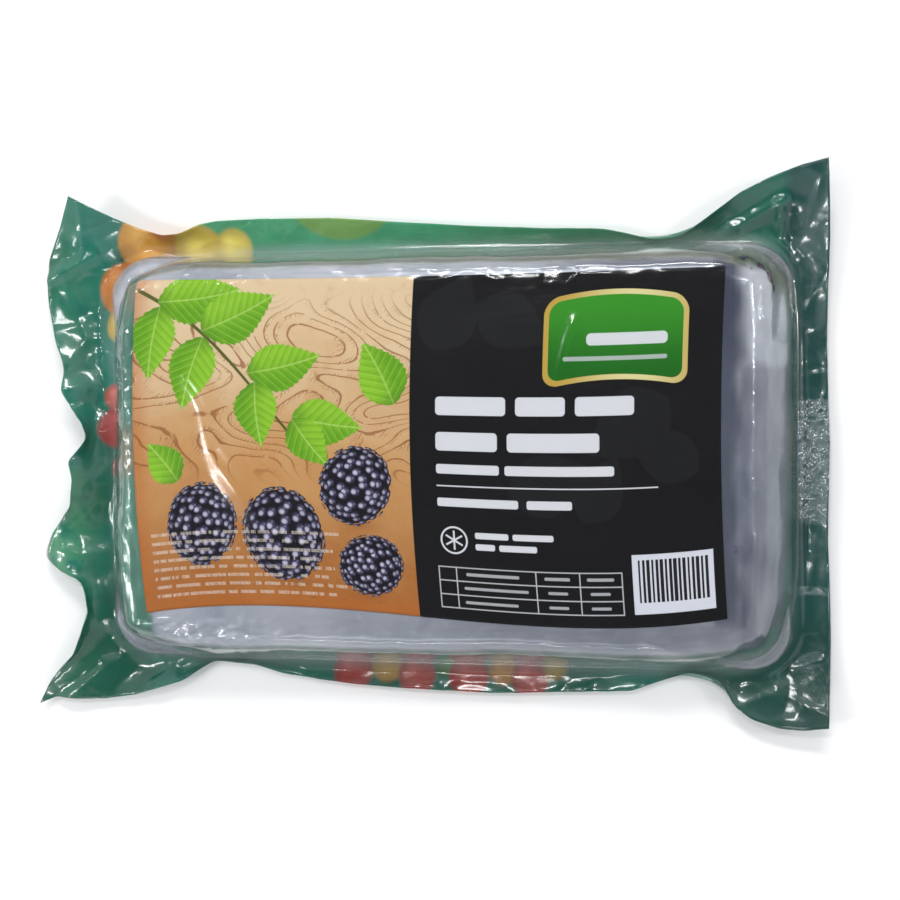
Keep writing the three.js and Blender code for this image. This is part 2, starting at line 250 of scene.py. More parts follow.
# ----------------------------------------------------------------------------
# the outer pouch's grid: straight lines over the bed, bent in the margin so
# that its border runs along the measured free edge
# ----------------------------------------------------------------------------
def side(a, b):
    """One side of the free edge, resampled and softened, its two corners kept."""
    n = len(EDGE)
    p = np.array([EDGE[i % n] for i in range(a, b + 1)], float)
    s = np.r_[0, np.cumsum(np.hypot(*np.diff(p[:, :2], axis=0).T))]
    t = np.arange(0, s[-1], 0.4)
    t = np.r_[t, s[-1]]
    q = np.c_[[np.interp(t, s, p[:, k]) for k in range(3)]].T
    h = 9
    ext = np.vstack([2 * q[0] - q[h:0:-1], q, 2 * q[-1] - q[-2:-h - 2:-1]])
    w = np.exp(-0.5 * (np.arange(-h, h + 1) / 3.2) ** 2)
    w /= w.sum()
    out = np.c_[[np.convolve(ext[:, k], w, "valid") for k in range(3)]].T
    out[0], out[-1] = q[0], q[-1]
    return out


def along(points, axis, fractions):
    d = np.abs(np.diff(points[:, axis]))
    l = np.hypot(*np.diff(points[:, :2], axis=0).T)
    c = np.r_[0, np.cumsum(0.6 * d / d.sum() + 0.4 * l / l.sum())]
    return np.c_[[np.interp(fractions, c, points[:, k]) for k in range(3)]].T


def graded(lo, hi, fine, coarse, zone):
    """Lines from lo to hi, close together near both ends."""
    edge_part = np.arange(0, zone, fine)
    mid = np.linspace(lo + zone, hi - zone, int(round((hi - lo - 2 * zone) / coarse)) + 1)
    return np.r_[lo + edge_part, mid, (hi - edge_part)[::-1]]


def denser(lines, lo, hi, step):
    """The same lines, with extra ones between lo and hi so that none are farther apart than step."""
    out = [lines[0]]
    for a, b in zip(lines[:-1], lines[1:]):
        n = int(math.ceil((b - a) / step)) if b > lo and a < hi else 1
        out += [a + (b - a) * (k + 1) / n for k in range(n)]
    return np.array(out)


FX0, FX1 = BED_C[0] - BED_H[0] - FOOT, BED_C[0] + BED_H[0] + FOOT
FY0, FY1 = BED_C[1] - BED_H[1] - FOOT, BED_C[1] + BED_H[1] + FOOT
FINE, COARSE = ((0.76, 1.93))
NL, NR, NB, NT = ((30, 16, 16, 20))
bx, by = graded(FX0, FX1, FINE, COARSE, 18.0), graded(FY0, FY1, FINE, COARSE, 18.0)
# the two long folds in the clear film over the label, from frame positions
GLARE = [
    [(180, 374, 0.0, 1.6), (186, 383, 0.48, 1.6), (194, 394, 0.56, 1.7), (202, 410, 0.64, 1.9), (206, 430, 0.72, 2.2),
     (212, 450, 0.92, 2.9), (224, 470, 1.16, 3.8), (239, 491, 1.2, 4.2), (254, 512, 0.75, 3.9), (264, 526, 0.0, 3.4)],
    [(576, 312, 0.0, 1.3), (572, 324, 0.5, 1.4), (566, 342, 0.6, 1.5), (560, 366, 0.52, 1.5), (553, 392, 0.0, 1.4)],
]
GLARE = [[(*spot(a, b, 25), h, w) for a, b, h, w in run] for run in GLARE]
for run in GLARE:
    bx = denser(bx, min(p[0] for p in run) - 3, max(p[0] for p in run) + 3, 0.75)
    by = denser(by, min(p[1] for p in run) - 2, max(p[1] for p in run) + 2, 1.0)
xs = np.r_[np.linspace(-147.0, FX0, NL, endpoint=False), bx, np.linspace(FX1, 149.0, NR + 1)[1:]]
ys = np.r_[np.linspace(-93.0, FY0, NB, endpoint=False), by, np.linspace(FY1, 92.0, NT + 1)[1:]]
NX, NY = len(xs), len(ys)
ix0, ix1 = NL, NL + len(bx) - 1
iy0, iy1 = NB, NB + len(by) - 1

left, bottom = side(CORNERS[0], CORNERS[1]), side(CORNERS[1], CORNERS[2])
right, top = side(CORNERS[2], CORNERS[3]), side(CORNERS[3], len(EDGE))
fx = (xs - xs[0]) / (xs[-1] - xs[0])
fy = (ys - ys[0]) / (ys[-1] - ys[0])
G = np.zeros((NY, NX, 3))
G[:, 0] = along(left[::-1], 1, fy)
G[:, -1] = along(right, 1, fy)
G[0] = along(bottom, 0, fx)
G[-1] = along(top[::-1], 0, fx)
u, v = fx[None, :, None], fy[:, None, None]
blend = ((1 - u) * G[:, :1] + u * G[:, -1:] + (1 - v) * G[:1] + v * G[-1:]
         - (1 - u) * (1 - v) * G[0, 0] - u * (1 - v) * G[0, -1] - (1 - u) * v * G[-1, 0] - u * v * G[-1, -1])
G[1:-1, 1:-1] = blend[1:-1, 1:-1]
held = np.zeros((NY, NX), bool)
held[iy0:iy1 + 1, ix0:ix1 + 1] = True
XX, YY = np.meshgrid(xs, ys)
G[held] = np.c_[XX[held], YY[held], np.zeros(held.sum())]
held[0] = held[-1] = True
held[:, 0] = held[:, -1] = True
free = ~held[1:-1, 1:-1]
for _ in range(1500):
    avg = (G[:-2, 1:-1] + G[2:, 1:-1] + G[1:-1, :-2] + G[1:-1, 2:]) / 4
    G[1:-1, 1:-1][free] = avg[free]
GX, GY, GZ = G[..., 0], G[..., 1], G[..., 2].copy()

# how far into the margin a point is: 0 on the bed's foot, 1 at the free edge
M = np.zeros((NY, NX))
M[0] = M[-1] = M[:, 0] = M[:, -1] = 1
for _ in range(900):
    avg = (M[:-2, 1:-1] + M[2:, 1:-1] + M[1:-1, :-2] + M[1:-1, 2:]) / 4
    M[1:-1, 1:-1][free] = avg[free]
SD = sd_bed(GX, GY)
OUT = smooth(0.0, 6.0, SD - FOOT)          # 0 over the bed, 1 a little way out

# ----------------------------------------------------------------------------
# heights
# ----------------------------------------------------------------------------
# folds in the margin, from frame positions: u0, v0, u1, v1, height, width
MARGIN_FOLDS = [
    (46, 284, 98, 254, 2.9, 4.5), (98, 254, 168, 230, 1.8, 6), (176, 232, 188, 266, 1.6, 5), (158, 254, 190, 264, 1.0, 4),
    (112, 262, 108, 320, 1.0, 8), (60, 262, 80, 312, 1.2, 6), (64, 392, 100, 384, 2.2, 6), (64, 404, 104, 408, -1.6, 5),
    (90, 430, 128, 448, 2.6, 9), (64, 466, 120, 452, 1.6, 7), (136, 468, 98, 524, -1.8, 6), (80, 486, 92, 530, 1.4, 5),
    (50, 548, 110, 560, 2.0, 8), (92, 600, 132, 588, 2.6, 9), (84, 626, 128, 612, 1.3, 6), (58, 704, 128, 648, 3.0, 8),
    (44, 700, 100, 664, -1.6, 5), (150, 690, 176, 668, 1.6, 7), (108, 540, 128, 556, 1.1, 4), (120, 352, 136, 362, 0.9, 4),
    (208, 222, 200, 262, 1.4, 6), (248, 222, 262, 256, 0.8, 9), (420, 226, 452, 256, 0.7, 9), (560, 230, 590, 250, 0.8, 8),
    (716, 238, 790, 198, 2.8, 3.6), (704, 244, 744, 224, 1.2, 4), (782, 204, 784, 250, 1.6, 3), (789, 200, 787, 262, -1.6, 3),
    (772, 202, 806, 206, 1.4, 3), (738, 250, 800, 232, -1.0, 6), (797, 262, 798, 450, -1.4, 4), (798, 440, 796, 640, -1.6, 4),
    (790, 670, 826, 660, 1.7, 3), (742, 686, 786, 700, 1.2, 8), (800, 300, 812, 420, 0.9, 5), (806, 480, 812, 560, 0.8, 5),
    (228, 664, 300, 672, 1.0, 6), (420, 664, 450, 690, 0.8, 8), (540, 662, 560, 690, 0.8, 8), (610, 662, 640, 688, 1.0, 7),
]
fold = np.zeros((NY, NX))
for a, b, c, d, amp, width in MARGIN_FOLDS:
    fold += tent(GX, GY, spot(a, b, 6), spot(c, d, 6), amp, width)

c1 = creased(GX, GY, 26, 5, 0.35, 1.3, 0.07)
c2 = crumple(GX, GY, 9, 9, -0.5, 1.6)
base = GZ * (0.55 + 0.45 * M)                       # the margin's run from foot to edge
base = base + OUT * (fold + 0.6 * c1 + 0.25 * c2 - 0.35) * (0.6 + 0.4 * M)
base = np.maximum(base, 0.0)

# under the bed: the web is drawn up a little between the berries
near = np.full((NY, NX), 99.0)
for b in BERRIES:
    h = math.radians(b[2])
    du, dv = GX - b[0], GY - b[1]
    p, q = math.cos(h) * du + math.sin(h) * dv, -math.sin(h) * du + math.cos(h) * dv
    near = np.minimum(near, np.hypot(p / (b[3] / 2), q / (b[4] / 2)))
hollow = smooth(0.55, 1.25, near)
inside = smooth(1.0, -5.0, SD)
back_z = base + 0.75 * hollow * inside + smooth(-6, 6.5, SD) * smooth(12, 6, SD) * 0.5 * c2
back_z[SD < -6] = np.minimum(back_z[SD < -6], 0.8)
# the printed web is drawn a little way up the pack's side at its corners
GAP_ = bed_gap(GX, GY)
CLIMB = [(-112.0, 66.0, 9.5, 17.0), (-113.0, -70.0, 6.0, 15.0), (-114.0, 14.0, 3.0, 26.0), (131.0, -72.0, 4.5, 13.0), (128.0, 68.0, 4.5, 14.0)]
for cx, cy, amount, reach in CLIMB:
    back_z = back_z + amount * np.exp(-((GX - cx) ** 2 + (GY - cy) ** 2) / (2 * reach ** 2)) * smooth(3.3, 4.9, GAP_) * smooth(17, 5.5, GAP_)


def profile(d, table):
    dd, zz = np.array(table, float).T
    fine_d = np.linspace(dd[0] - 6, dd[-1] + 6, 400)
    fine_z = np.interp(fine_d, dd, zz)
    k = np.ones(13) / 13
    fine_z = np.convolve(np.pad(fine_z, 6, mode="edge"), k, "valid")
    return np.interp(d, fine_d, fine_z)


def wave(x, y):
    """The bed's slightly uneven top, the same for every layer on it."""
    return 0.55 * perlin(x / 46 + 3.1, y / 38 + 1.7, 3) + 0.22 * perlin(x / 21, y / 19, 8)


def wrap_height(x, y):
    """Upper face of the inner wrap's front web over the bed and its shoulders."""
    d = bed_gap(x, y)
    z = profile(d, [(-7.5, 23.6), (-4.2, 23.1), (-0.6, 20.0), (1.9, 13.0), (3.3, 5.2), (4.4, 1.8), (9, 1.5)])
    zr = profile(d, [(-11, 23.6), (-8, 22.7), (-3.6, 18.8), (0.4, 14.0), (4.0, 8.6), (7.0, 4.0), (8.6, 2.2), (11, 2.0)])
    wr = smooth(110, 124, x)
    z = z * (1 - wr) + zr * wr
    lumps = smooth(24, 18, z) * smooth(2, 7, z)
    return z + wave(x, y) * smooth(0, 12, z), lumps


def off_label(x, y):
    """1 clear of the label, 0 under it."""
    qx, qy = np.abs(x - 5.4) - 107.4, np.abs(y - 0.9) - 62.4
    return smooth(0.2, 3.0, np.maximum(qx, qy))


def lowest_margin(x, y, field=None):
    """Height of the back web's margin at points off the grid, by the nearest grid points."""
    gx, gy, gz = GX.ravel(), GY.ravel(), (back_z if field is None else field).ravel()
    fx_, fy_ = x.ravel(), y.ravel()
    res = np.zeros(fx_.shape)
    sel = np.flatnonzero(SD.ravel() > -4)
    gx, gy, gz = gx[sel], gy[sel], gz[sel]
    out_there = np.flatnonzero(sd_bed(fx_, fy_) > -2.5)
    for k in range(0, len(out_there), 400):
        i = out_there[k:k + 400]
        d = (fx_[i, None] - gx) ** 2 + (fy_[i, None] - gy) ** 2
        near4 = np.argpartition(d, 4, axis=1)[:, :4]
        w = 1 / (np.take_along_axis(d, near4, 1) + 1e-3)
        res[i] = (w * gz[near4]).sum(1) / w.sum(1)
    return res.reshape(x.shape)


# folds drawn in the wrap and the clear web over the shoulders and the top
SHOULDER_FOLDS = [
    (150, 652, 168, 640, 1.2, 3), (186, 628, 216, 656, 1.7, 4), (170, 634, 182, 656, 1.2, 3), (206, 662, 262, 638, 1.5, 4),
    (158, 622, 190, 612, 0.9, 2.5), (196, 618, 204, 640, 0.9, 2.5), (176, 660, 214, 652, 0.9, 2.5), (226, 650, 240, 622, 0.9, 3),
    (236, 668, 300, 632, 1.1, 5), (296, 664, 306, 640, 1.3, 3), (640, 634, 726, 672, 2.0, 4), (700, 640, 736, 664, 1.1, 4),
    (412, 640, 440, 662, 0.6, 5), (352, 664, 352, 650, 0.8, 2.5), (560, 640, 600, 660, 0.5, 5),
    (765, 258, 762, 326, 1.5, 2.4), (773, 258, 769, 352, 1.7, 2.4), (757, 270, 758, 300, 1.0, 2.2), (748, 276, 766, 380, 1.0, 4),
    (768, 290, 767, 340, 1.0, 1.8), (760, 300, 764, 332, 0.9, 1.8), (120, 506, 134, 540, 1.2, 3), (112, 534, 128, 520, 1.0, 3),
    (112, 424, 136, 436, 1.0, 3), (118, 350, 134, 372, 1.0, 3), (120, 470, 134, 460, 0.9, 3), (116, 580, 136, 566, 1.1, 3.5),
    (118, 310, 132, 300, 0.9, 3), (124, 396, 136, 404, 0.8, 2.5),
    (768, 360, 764, 412, 0.8, 3), (765, 430, 768, 452, 0.7, 2.6), (790, 262, 792, 340, 1.0, 3), (792, 340, 789, 366, 0.8, 3),
    (755, 530, 754, 560, 0.7, 3), (754, 600, 756, 640, 0.8, 2.6), (776, 600, 780, 650, 0.7, 4), (736, 640, 728, 664, 0.7, 4),
    (304, 258, 306, 278, 1.1, 2.2), (270, 276, 304, 260, 0.9, 5), (306, 260, 340, 277, 0.9, 5), (372, 256, 373, 276, 1.0, 2.2),
    (352, 256, 354, 276, 0.9, 2.5), (330, 276, 352, 258, 0.8, 5), (374, 258, 400, 276, 0.9, 5), (420, 256, 424, 276, 1.2, 2.5),
    (498, 262, 508, 276, 0.8, 3), (200, 262, 188, 280, 1.1, 3), (160, 268, 196, 258, 0.8, 3), (650, 244, 640, 262, 0.7, 3),
    (566, 262, 620, 248, 0.7, 4), (728, 250, 736, 268, 0.8, 3),
]
GLARE_FOLDS = [
    (640, 300, 700, 330, 0.1, 5.0),
    (300, 300, 360, 286, 0.12, 5.0), (350, 540, 410, 590, 0.14, 6.0), (470, 560, 540, 600, 0.12, 6.0), (600, 420, 700, 440, 0.12, 7.0),
]


def shoulder_folds(x, y, z_at):
    f = np.zeros(x.shape)
    for a, b, c, d, amp, width in SHOULDER_FOLDS:
        f += tent(x, y, spot(a, b, z_at), spot(c, d, z_at), amp, width)
    return f


# ----------------------------------------------------------------------------
# meshes
# ----------------------------------------------------------------------------
def grid_faces(ny, nx):
    a = (np.arange(ny - 1)[:, None] * nx + np.arange(nx - 1)[None, :]).ravel()
    return np.c_[a, a + 1, a + nx + 1, a + nx]


def mesh_object(name, verts, faces, uv=None, thick=None, smooth_shade=True):
    me = bpy.data.meshes.new(name)
    me.from_pydata((np.asarray(verts) * MM).tolist(), [], np.asarray(faces).tolist())
    me.update()
    if uv is not None:
        layer = me.uv_layers.new(name="UVMap")
        idx = np.zeros(len(me.loops), int)
        me.loops.foreach_get("vertex_index", idx)
        layer.data.foreach_set("uv", np.asarray(uv)[idx].astype(np.float32).ravel())
    if smooth_shade:
        me.polygons.foreach_set("use_smooth", np.ones(len(me.polygons), bool))
    ob = bpy.data.objects.new(name, me)
    scene.collection.objects.link(ob)
    if thick:
        m = ob.modifiers.new("thickness", "SOLIDIFY")
        m.thickness = thick * MM
        m.offset = 0.0
        m.use_even_offset = False
        m.use_rim = True
    return ob


def attribute(ob, name, values):
    a = ob.data.attributes.new(name, "FLOAT", "POINT")
    a.data.foreach_set("value", np.asarray(values, np.float32).ravel())


def sheet_piece(name, X, Y, Z, nodes, thick, uv=None):
    ny, nx = X.shape
    if uv is None:
        uv = np.c_[((X - X.min()) / 300.0).ravel(), ((Y - Y.min()) / 300.0).ravel()]
    ob = mesh_object(name, np.c_[X.ravel(), Y.ravel(), Z.ravel()], grid_faces(ny, nx), uv, thick)
    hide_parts(*nodes)
    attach(ob, "root")
    return ob


# ---- outer pouch -----------------------------------------------------------
flat_uv = np.c_[((GX + 155) / 310).ravel(), ((GY + 105) / 310).ravel()]
back = sheet_piece("back_web", GX, GY, back_z + 0.06, ["outer_back_film"], 0.12, flat_uv)

GAP_ = bed_gap(GX, GY)
wz, lumps = wrap_height(GX, GY)
outer_prof = profile(GAP_, [(-7, 24.9), (-3.2, 24.5), (1.2, 20.2), (4.2, 12.0), (7.4, 2.2), (10.0, 0.0)])
prof_r = profile(GAP_, [(-11, 24.9), (-8, 24.0), (-3.6, 20.3), (0.6, 15.4), (4.4, 9.9), (7.6, 4.8), (9.8, 1.2), (12, 0.0)])
prof_l = profile(GAP_, [(-7, 24.9), (-4.2, 24.0), (0.6, 18.4), (5.0, 9.0), (8.6, 2.6), (12.0, 0.0)])
wr = smooth(110, 124, GX)
wl = smooth(-92, -108, GX)
outer_prof = outer_prof * (1 - wr) + prof_r * wr
outer_prof = outer_prof * (1 - wl) + prof_l * wl
outer_prof = outer_prof + wave(GX, GY) * smooth(0, 14, outer_prof)
outer_prof = outer_prof + smooth(-101, -107, GX) * smooth(-6.5, -2.0, GAP_) * smooth(11, 6, GAP_) * 1.1 * creased(GX, GY, 8, 47, 0.5, 1.3, 0.13)
loose = OUT * smooth(1.0, 0.9, M) * (0.42 * creased(GX, GY, 15, 31, 0.2, 1.5, 0.1) + 0.16 * creased(GX, GY, 6.5, 33, -0.4, 2.0, 0.14))
front_z = np.maximum(back_z + 0.45 + loose, outer_prof)
sh = smooth(-16, -4, SD) * smooth(12, 5, SD)
front_z = front_z + sh * (shoulder_folds(GX, GY, 16) * 0.7 + (0.5 * creased(GX, GY, 9, 41, 0.0, 1.4, 0.1) + 0.25 * crumple(GX, GY, 4, 43, 0.5, 1.4)) * smooth(1, 8, outer_prof))
glare = np.zeros((NY, NX))
for a, b, c, d, amp, width in GLARE_FOLDS:
    glare += tent(GX, GY, spot(a, b, 25), spot(c, d, 25), amp, width)
for run in GLARE:
    glare += ridge(GX, GY, run)
glare += 0.9 * np.exp(-((GX + 88) ** 2 / (2 * 30.0 ** 2) + (GY + 71) ** 2 / (2 * 6.0 ** 2))) * creased(GX, GY, 7, 69, 0.6, 1.8, 0.13)
front_z = front_z + glare + 0.05 * crumple(GX, GY, 30, 55, 0.7, 1.6) * smooth(-4, -20, SD)
need = np.where(SD < 11.0, np.maximum(wz, np.where(SD < 1, berry_top(GX, GY) + 0.5, 0)) + 0.75 + sh * 0.6 * shoulder_folds(GX, GY, 16), 0)
front_z = np.maximum(front_z, need)
front_z = np.maximum(front_z, back_z + 0.4)
front = sheet_piece("front_web", GX, GY, front_z + 0.06, ["outer_front_film"], 0.1, flat_uv)

# whitish veil in the clear web over the bed's shoulders: partly the film's own haze, partly painted sheen standing for
# the sloped film's reflection
shoulder_haze_sheen = 0.004 * OUT + 0.09 * smooth(0.0, 4.0, GAP_) * smooth(13.0, 7.0, GAP_)
shoulder_haze_sheen = shoulder_haze_sheen * (1 - 0.75 * smooth(-98, -106, GX)) + 0.02 * smooth(-100, -108, GX) * smooth(-6.0, 1.0, GAP_) * smooth(12, 5, GAP_)
shoulder_haze_sheen = shoulder_haze_sheen * (1 - 0.7 * smooth(122, 134, GX))
attribute(front, "haze_sheen", shoulder_haze_sheen)

# ---- inner wrap ------------------------------------------------------------
HEM = 8.6
wx = graded(BED_C[0] - BED_H[0] - HEM, BED_C[0] + BED_H[0] + HEM, 0.8, 1.8, 20.0)
wy = graded(BED_C[1] - BED_H[1] - HEM, BED_C[1] + BED_H[1] + HEM, 0.8, 1.8, 20.0)
WX, WY = np.meshgrid(wx, wy)
# round the hem's corners and let its width wander
for sx, sy in ((-1, -1), (1, -1), (1, 1), (-1, 1)):
    ccx, ccy = BED_C[0] + sx * (BED_H[0] - BED_R), BED_C[1] + sy * (BED_H[1] - BED_R)
    dx, dy = (WX - ccx) * sx, (WY - ccy) * sy
    r = np.hypot(dx, dy) + 1e-9
    full = BED_R + HEM
    bound = full / np.maximum(np.maximum(np.abs(dx), np.abs(dy)) / r, 1e-6)
    k = np.where((dx > 0) & (dy > 0) & (r > 10.0), (10.0 + (r - 10.0) * (full - 10.0) / (bound - 10.0)) / r, 1.0)
    WX, WY = ccx + sx * dx * k, ccy + sy * dy * k
d0 = sd_bed(WX, WY)
pull = np.clip(d0 - 4.0, 0, None) * (0.34 + 0.4 * perlin(WX / 23 + 5, WY / 23, 71))
ax, ay = np.clip(WX, BED_C[0] - BED_H[0] + BED_R, BED_C[0] + BED_H[0] - BED_R), np.clip(WY, BED_C[1] - BED_H[1] + BED_R, BED_C[1] + BED_H[1] - BED_R)
al = np.hypot(WX - ax, WY - ay) + 1e-9
WX, WY = WX - (WX - ax) / al * pull, WY - (WY - ay) / al * pull
# the hem stays inside the pouch where the free edge comes close to the bed
wsd = sd_bed(WX, WY)


def edge_gap(x, y):
    """Distance from each point to the pouch's free edge."""
    e = np.vstack([left, bottom, right, top])[:, :2]
    out = np.full(x.size, 1e9)
    px, py = x.ravel(), y.ravel()
    for k in range(0, x.size, 2000):
        d = (px[k:k + 2000, None] - e[:, 0]) ** 2 + (py[k:k + 2000, None] - e[:, 1]) ** 2
        out[k:k + 2000] = np.sqrt(d.min(1))
    return out.reshape(x.shape)


gap = edge_gap(WX, WY)
keep = np.clip((gap - 1.2) / 5.0, 0, 1)
cx, cy = np.clip(WX, FX0 + 3.2, FX1 - 3.2), np.clip(WY, FY0 + 3.2, FY1 - 3.2)
WX = WX * keep + cx * (1 - keep)
WY = WY * keep + cy * (1 - keep)
wsd = sd_bed(WX, WY)
wrap_z, _ = wrap_height(WX, WY)
margin_there = lowest_margin(WX, WY)
wsh = smooth(-18, -5, wsd)
streaks = crumple(WX, WY, 5.0, 61, math.pi / 2, 4.0) * smooth(112, 124, WX) + \
    crumple(WX, WY, 7.0, 63, 0.25, 2.2) * smooth(124, 112, WX)
clear_of = off_label(WX, WY)
low_left = np.exp(-((WX + 88) ** 2 / (2 * 30.0 ** 2) + (WY + 70) ** 2 / (2 * 9.0 ** 2)))
streaks = streaks + 2.6 * low_left * creased(WX, WY, 8.0, 67, 0.6, 1.8, 0.14)
wrap_z = wrap_z + clear_of * wsh * (0.5 * streaks + 0.10 * crumple(WX, WY, 2.6, 65, 0.4, 1.5)) * smooth(1.5, 8, wrap_z) \
    + clear_of * wsh * 0.8 * shoulder_folds(WX, WY, 14)
wrap_z = np.where(wsd < 1, np.maximum(wrap_z, berry_top(WX, WY) + 0.35), wrap_z)
hem_z = margin_there + 0.25
wrap_z = np.where(wsd > 3.0, np.maximum(np.minimum(wrap_z, 30), hem_z), wrap_z)


def grid_sample(values, x, y):
    """Reads a value off the pouch's grid at points over the bed (straight grid lines there)."""
    xi = np.clip(np.interp(x, xs[ix0:ix1 + 1], np.arange(ix0, ix1 + 1)), ix0, ix1 - 1e-6)
    yi = np.clip(np.interp(y, ys[iy0:iy1 + 1], np.arange(iy0, iy1 + 1)), iy0, iy1 - 1e-6)
    x0, y0 = xi.astype(int), yi.astype(int)
    tx, ty = xi - x0, yi - y0
    return ((1 - tx) * (1 - ty) * values[y0, x0] + tx * (1 - ty) * values[y0, x0 + 1]
            + (1 - tx) * ty * values[y0 + 1, x0] + tx * ty * values[y0 + 1, x0 + 1])


over_bed = (WX >= FX0) & (WX <= FX1) & (WY >= FY0) & (WY <= FY1)
cap = np.where(over_bed, grid_sample(front_z, WX, WY) - 0.3, wrap_z)
wrap_z = np.where(over_bed, np.minimum(wrap_z, cap), wrap_z)
wrap = sheet_piece("wrap_front", WX, WY, wrap_z, ["inner_front_film"], 0.08)
dark = np.zeros(WX.shape)
for b in BERRIES:
    h = math.radians(b[2])
    du, dv = WX - b[0], WY - b[1]
    p, q = math.cos(h) * du + math.sin(h) * dv, -math.sin(h) * du + math.cos(h) * dv
    e = 1 - (p / (b[3] / 2)) ** 2 - (q / (b[4] / 2)) ** 2
    top_z = 1.25 + b[5] / 2 + b[5] / 2 * np.sqrt(np.clip(e, 0, 1))
    dark = np.maximum(dark, np.where(e > 0, np.clip(1 - (wrap_z - top_z - 0.4) / 5.0, 0, 1), 0))
dark = dark * smooth(-0.05, 0.3, perlin(WX / 24 + 3, WY / 24 + 9, 77)) * smooth(9, 13, wrap_z)
for a, b, size in ((741, 474, 2.6), (736, 552, 4.2), (744, 560, 2.2), (728, 545, 2.0), (733, 300, 1.8)):
    px_, py_ = spot(a, b, 23)
    dark = np.maximum(dark, 1.05 * np.exp(-((WX - px_) ** 2 + (WY - py_) ** 2) / (2 * size ** 2)))
attribute(wrap, "press", blur2(dark, 2))
attribute(wrap, "hem", smooth(4.2, 1.2, wrap_z - margin_there) * smooth(0.0, 2.0, wsd))
# darker blue-grey on the wrap's right side, top right and bottom right: painted shade; beside the label's right edge it
# also stands for the dark fruit seen through the film
ragged = perlin(WX / 7 + 2, WY / 13 + 4, 91) * 3.0
side_shade = smooth(106, 109, WX) * smooth(121 + ragged, 114 + ragged, WX) * (0.86 + 0.14 * smooth(0, 50, WY)) * smooth(-70, -56, WY)
side_shade = np.maximum(side_shade, smooth(60, 64, WY) * smooth(40, 75, WX) * 0.72)
step_y = 29.0 + 3.0 * perlin(WX / 6, WY / 9, 93)
side_shade = np.maximum(side_shade, smooth(112, 118, WX) * smooth(step_y + 2.5, step_y - 2.5, WY)
                       * (0.58 + 0.32 * perlin(WX / 9, WY / 16, 95) + 0.10 * smooth(0, -50, WY)))
side_shade = np.maximum(side_shade, smooth(-58, -63, WY) * (0.14 * smooth(-62, -40, WX) + 0.32 * smooth(-10, 60, WX)))
attribute(wrap, "tone", side_shade)
wgap = bed_gap(WX, WY)
label_left = -103.5 + 5.2 * (60 - WY) / 120
green_side = smooth(label_left + 4.2, label_left + 1.6, WX + 2.6 * perlin(WX / 8, WY / 12, 97) * smooth(-60, -64, WY))
green_side = np.maximum(green_side, smooth(-2.6, 1.4, wgap) * smooth(50, 60, WY) * 0.95)
green_side = np.maximum(green_side, smooth(108, 116, WX) * smooth(60, 66, WY) * smooth(-5.0, -1.0, wgap))
green_side = np.maximum(green_side, smooth(-0.5, 2.5, wgap) * smooth(-60, -66, WY) * (0.7 + 0.28 * smooth(90, 112, WX)))
green_side = np.maximum(green_side, smooth(3.0, 7.0, wgap) * smooth(110, 120, WX) * 0.9)
green_side = np.maximum(green_side, smooth(-88, -97, WX) * smooth(54, 60, np.abs(WY + 2)) * smooth(-2.5, 0.5, wgap))
attribute(wrap, "left", green_side)

bwx, bwy = WX[::2, ::2], WY[::2, ::2]
# it lies on the highest the printed web comes to near each point, so it never shows through it
above = back_z.copy()
for _ in range(4):
    pad = np.pad(above, 1, mode="edge")
    above = np.maximum.reduce([pad[1:-1, 1:-1], pad[:-2, 1:-1], pad[2:, 1:-1], pad[1:-1, :-2], pad[1:-1, 2:]])
bz = np.minimum(lowest_margin(bwx, bwy, above), 30)
bz = np.where(sd_bed(bwx, bwy) < 4.5, grid_sample(above, np.clip(bwx, FX0, FX1), np.clip(bwy, FY0, FY1)), bz)
wrap_b = sheet_piece("wrap_back", bwx, bwy, bz + 0.2, ["inner_back_film"], 0.06)
attribute(wrap_b, "press", smooth(1.0, 0.4, grid_sample(near, np.clip(bwx, FX0, FX1), np.clip(bwy, FY0, FY1))))
attribute(wrap_b, "hem", smooth(2.4, 5.0, sd_bed(bwx, bwy)))
attribute(wrap_b, "tone", np.zeros(bwx.shape))
attribute(wrap_b, "left", np.zeros(bwx.shape))

# ---- label -------------------------------------------------------------------
LW, LH = 213.5, 122.4
LNX, LNY = ((180, 104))
ta = np.linspace(0, 1, LNX)
tb = np.linspace(0, 1, LNY)


def bow(t, pts):
    """Smooth curve through points given as (t, value)."""
    k, v = np.array(pts, float).T
    return np.interp(t, k, v) if len(k) == 2 else np.polyval(np.polyfit(k, v, len(k) - 1), t)


top_y = bow(ta, [(0, 62.3), (0.5, 61.2), (1, 62.3)])
bot_y = bow(ta, [(0, -61.0), (0.5, -60.2), (0.85, -62.4), (1, -58.6)])
lef_x = bow(tb, [(0, -97.0), (0.36, -101.6), (1, -101.2)])
rig_x = bow(tb, [(0, 112.4), (0.5, 110.2), (1, 111.8)])
TA, TB = np.meshgrid(ta, tb)
LX = lef_x[:, None] * (1 - TA) + rig_x[:, None] * TA
LY = bot_y[None, :] * (1 - TB) + top_y[None, :] * TB
lz = np.maximum(wrap_height(LX, LY)[0], berry_top(LX, LY) + 0.35) + 0.3
label = sheet_piece("label_sheet", LX, LY, lz, ["label"], 0.12,
                    np.c_[TA.ravel(), TB.ravel()])

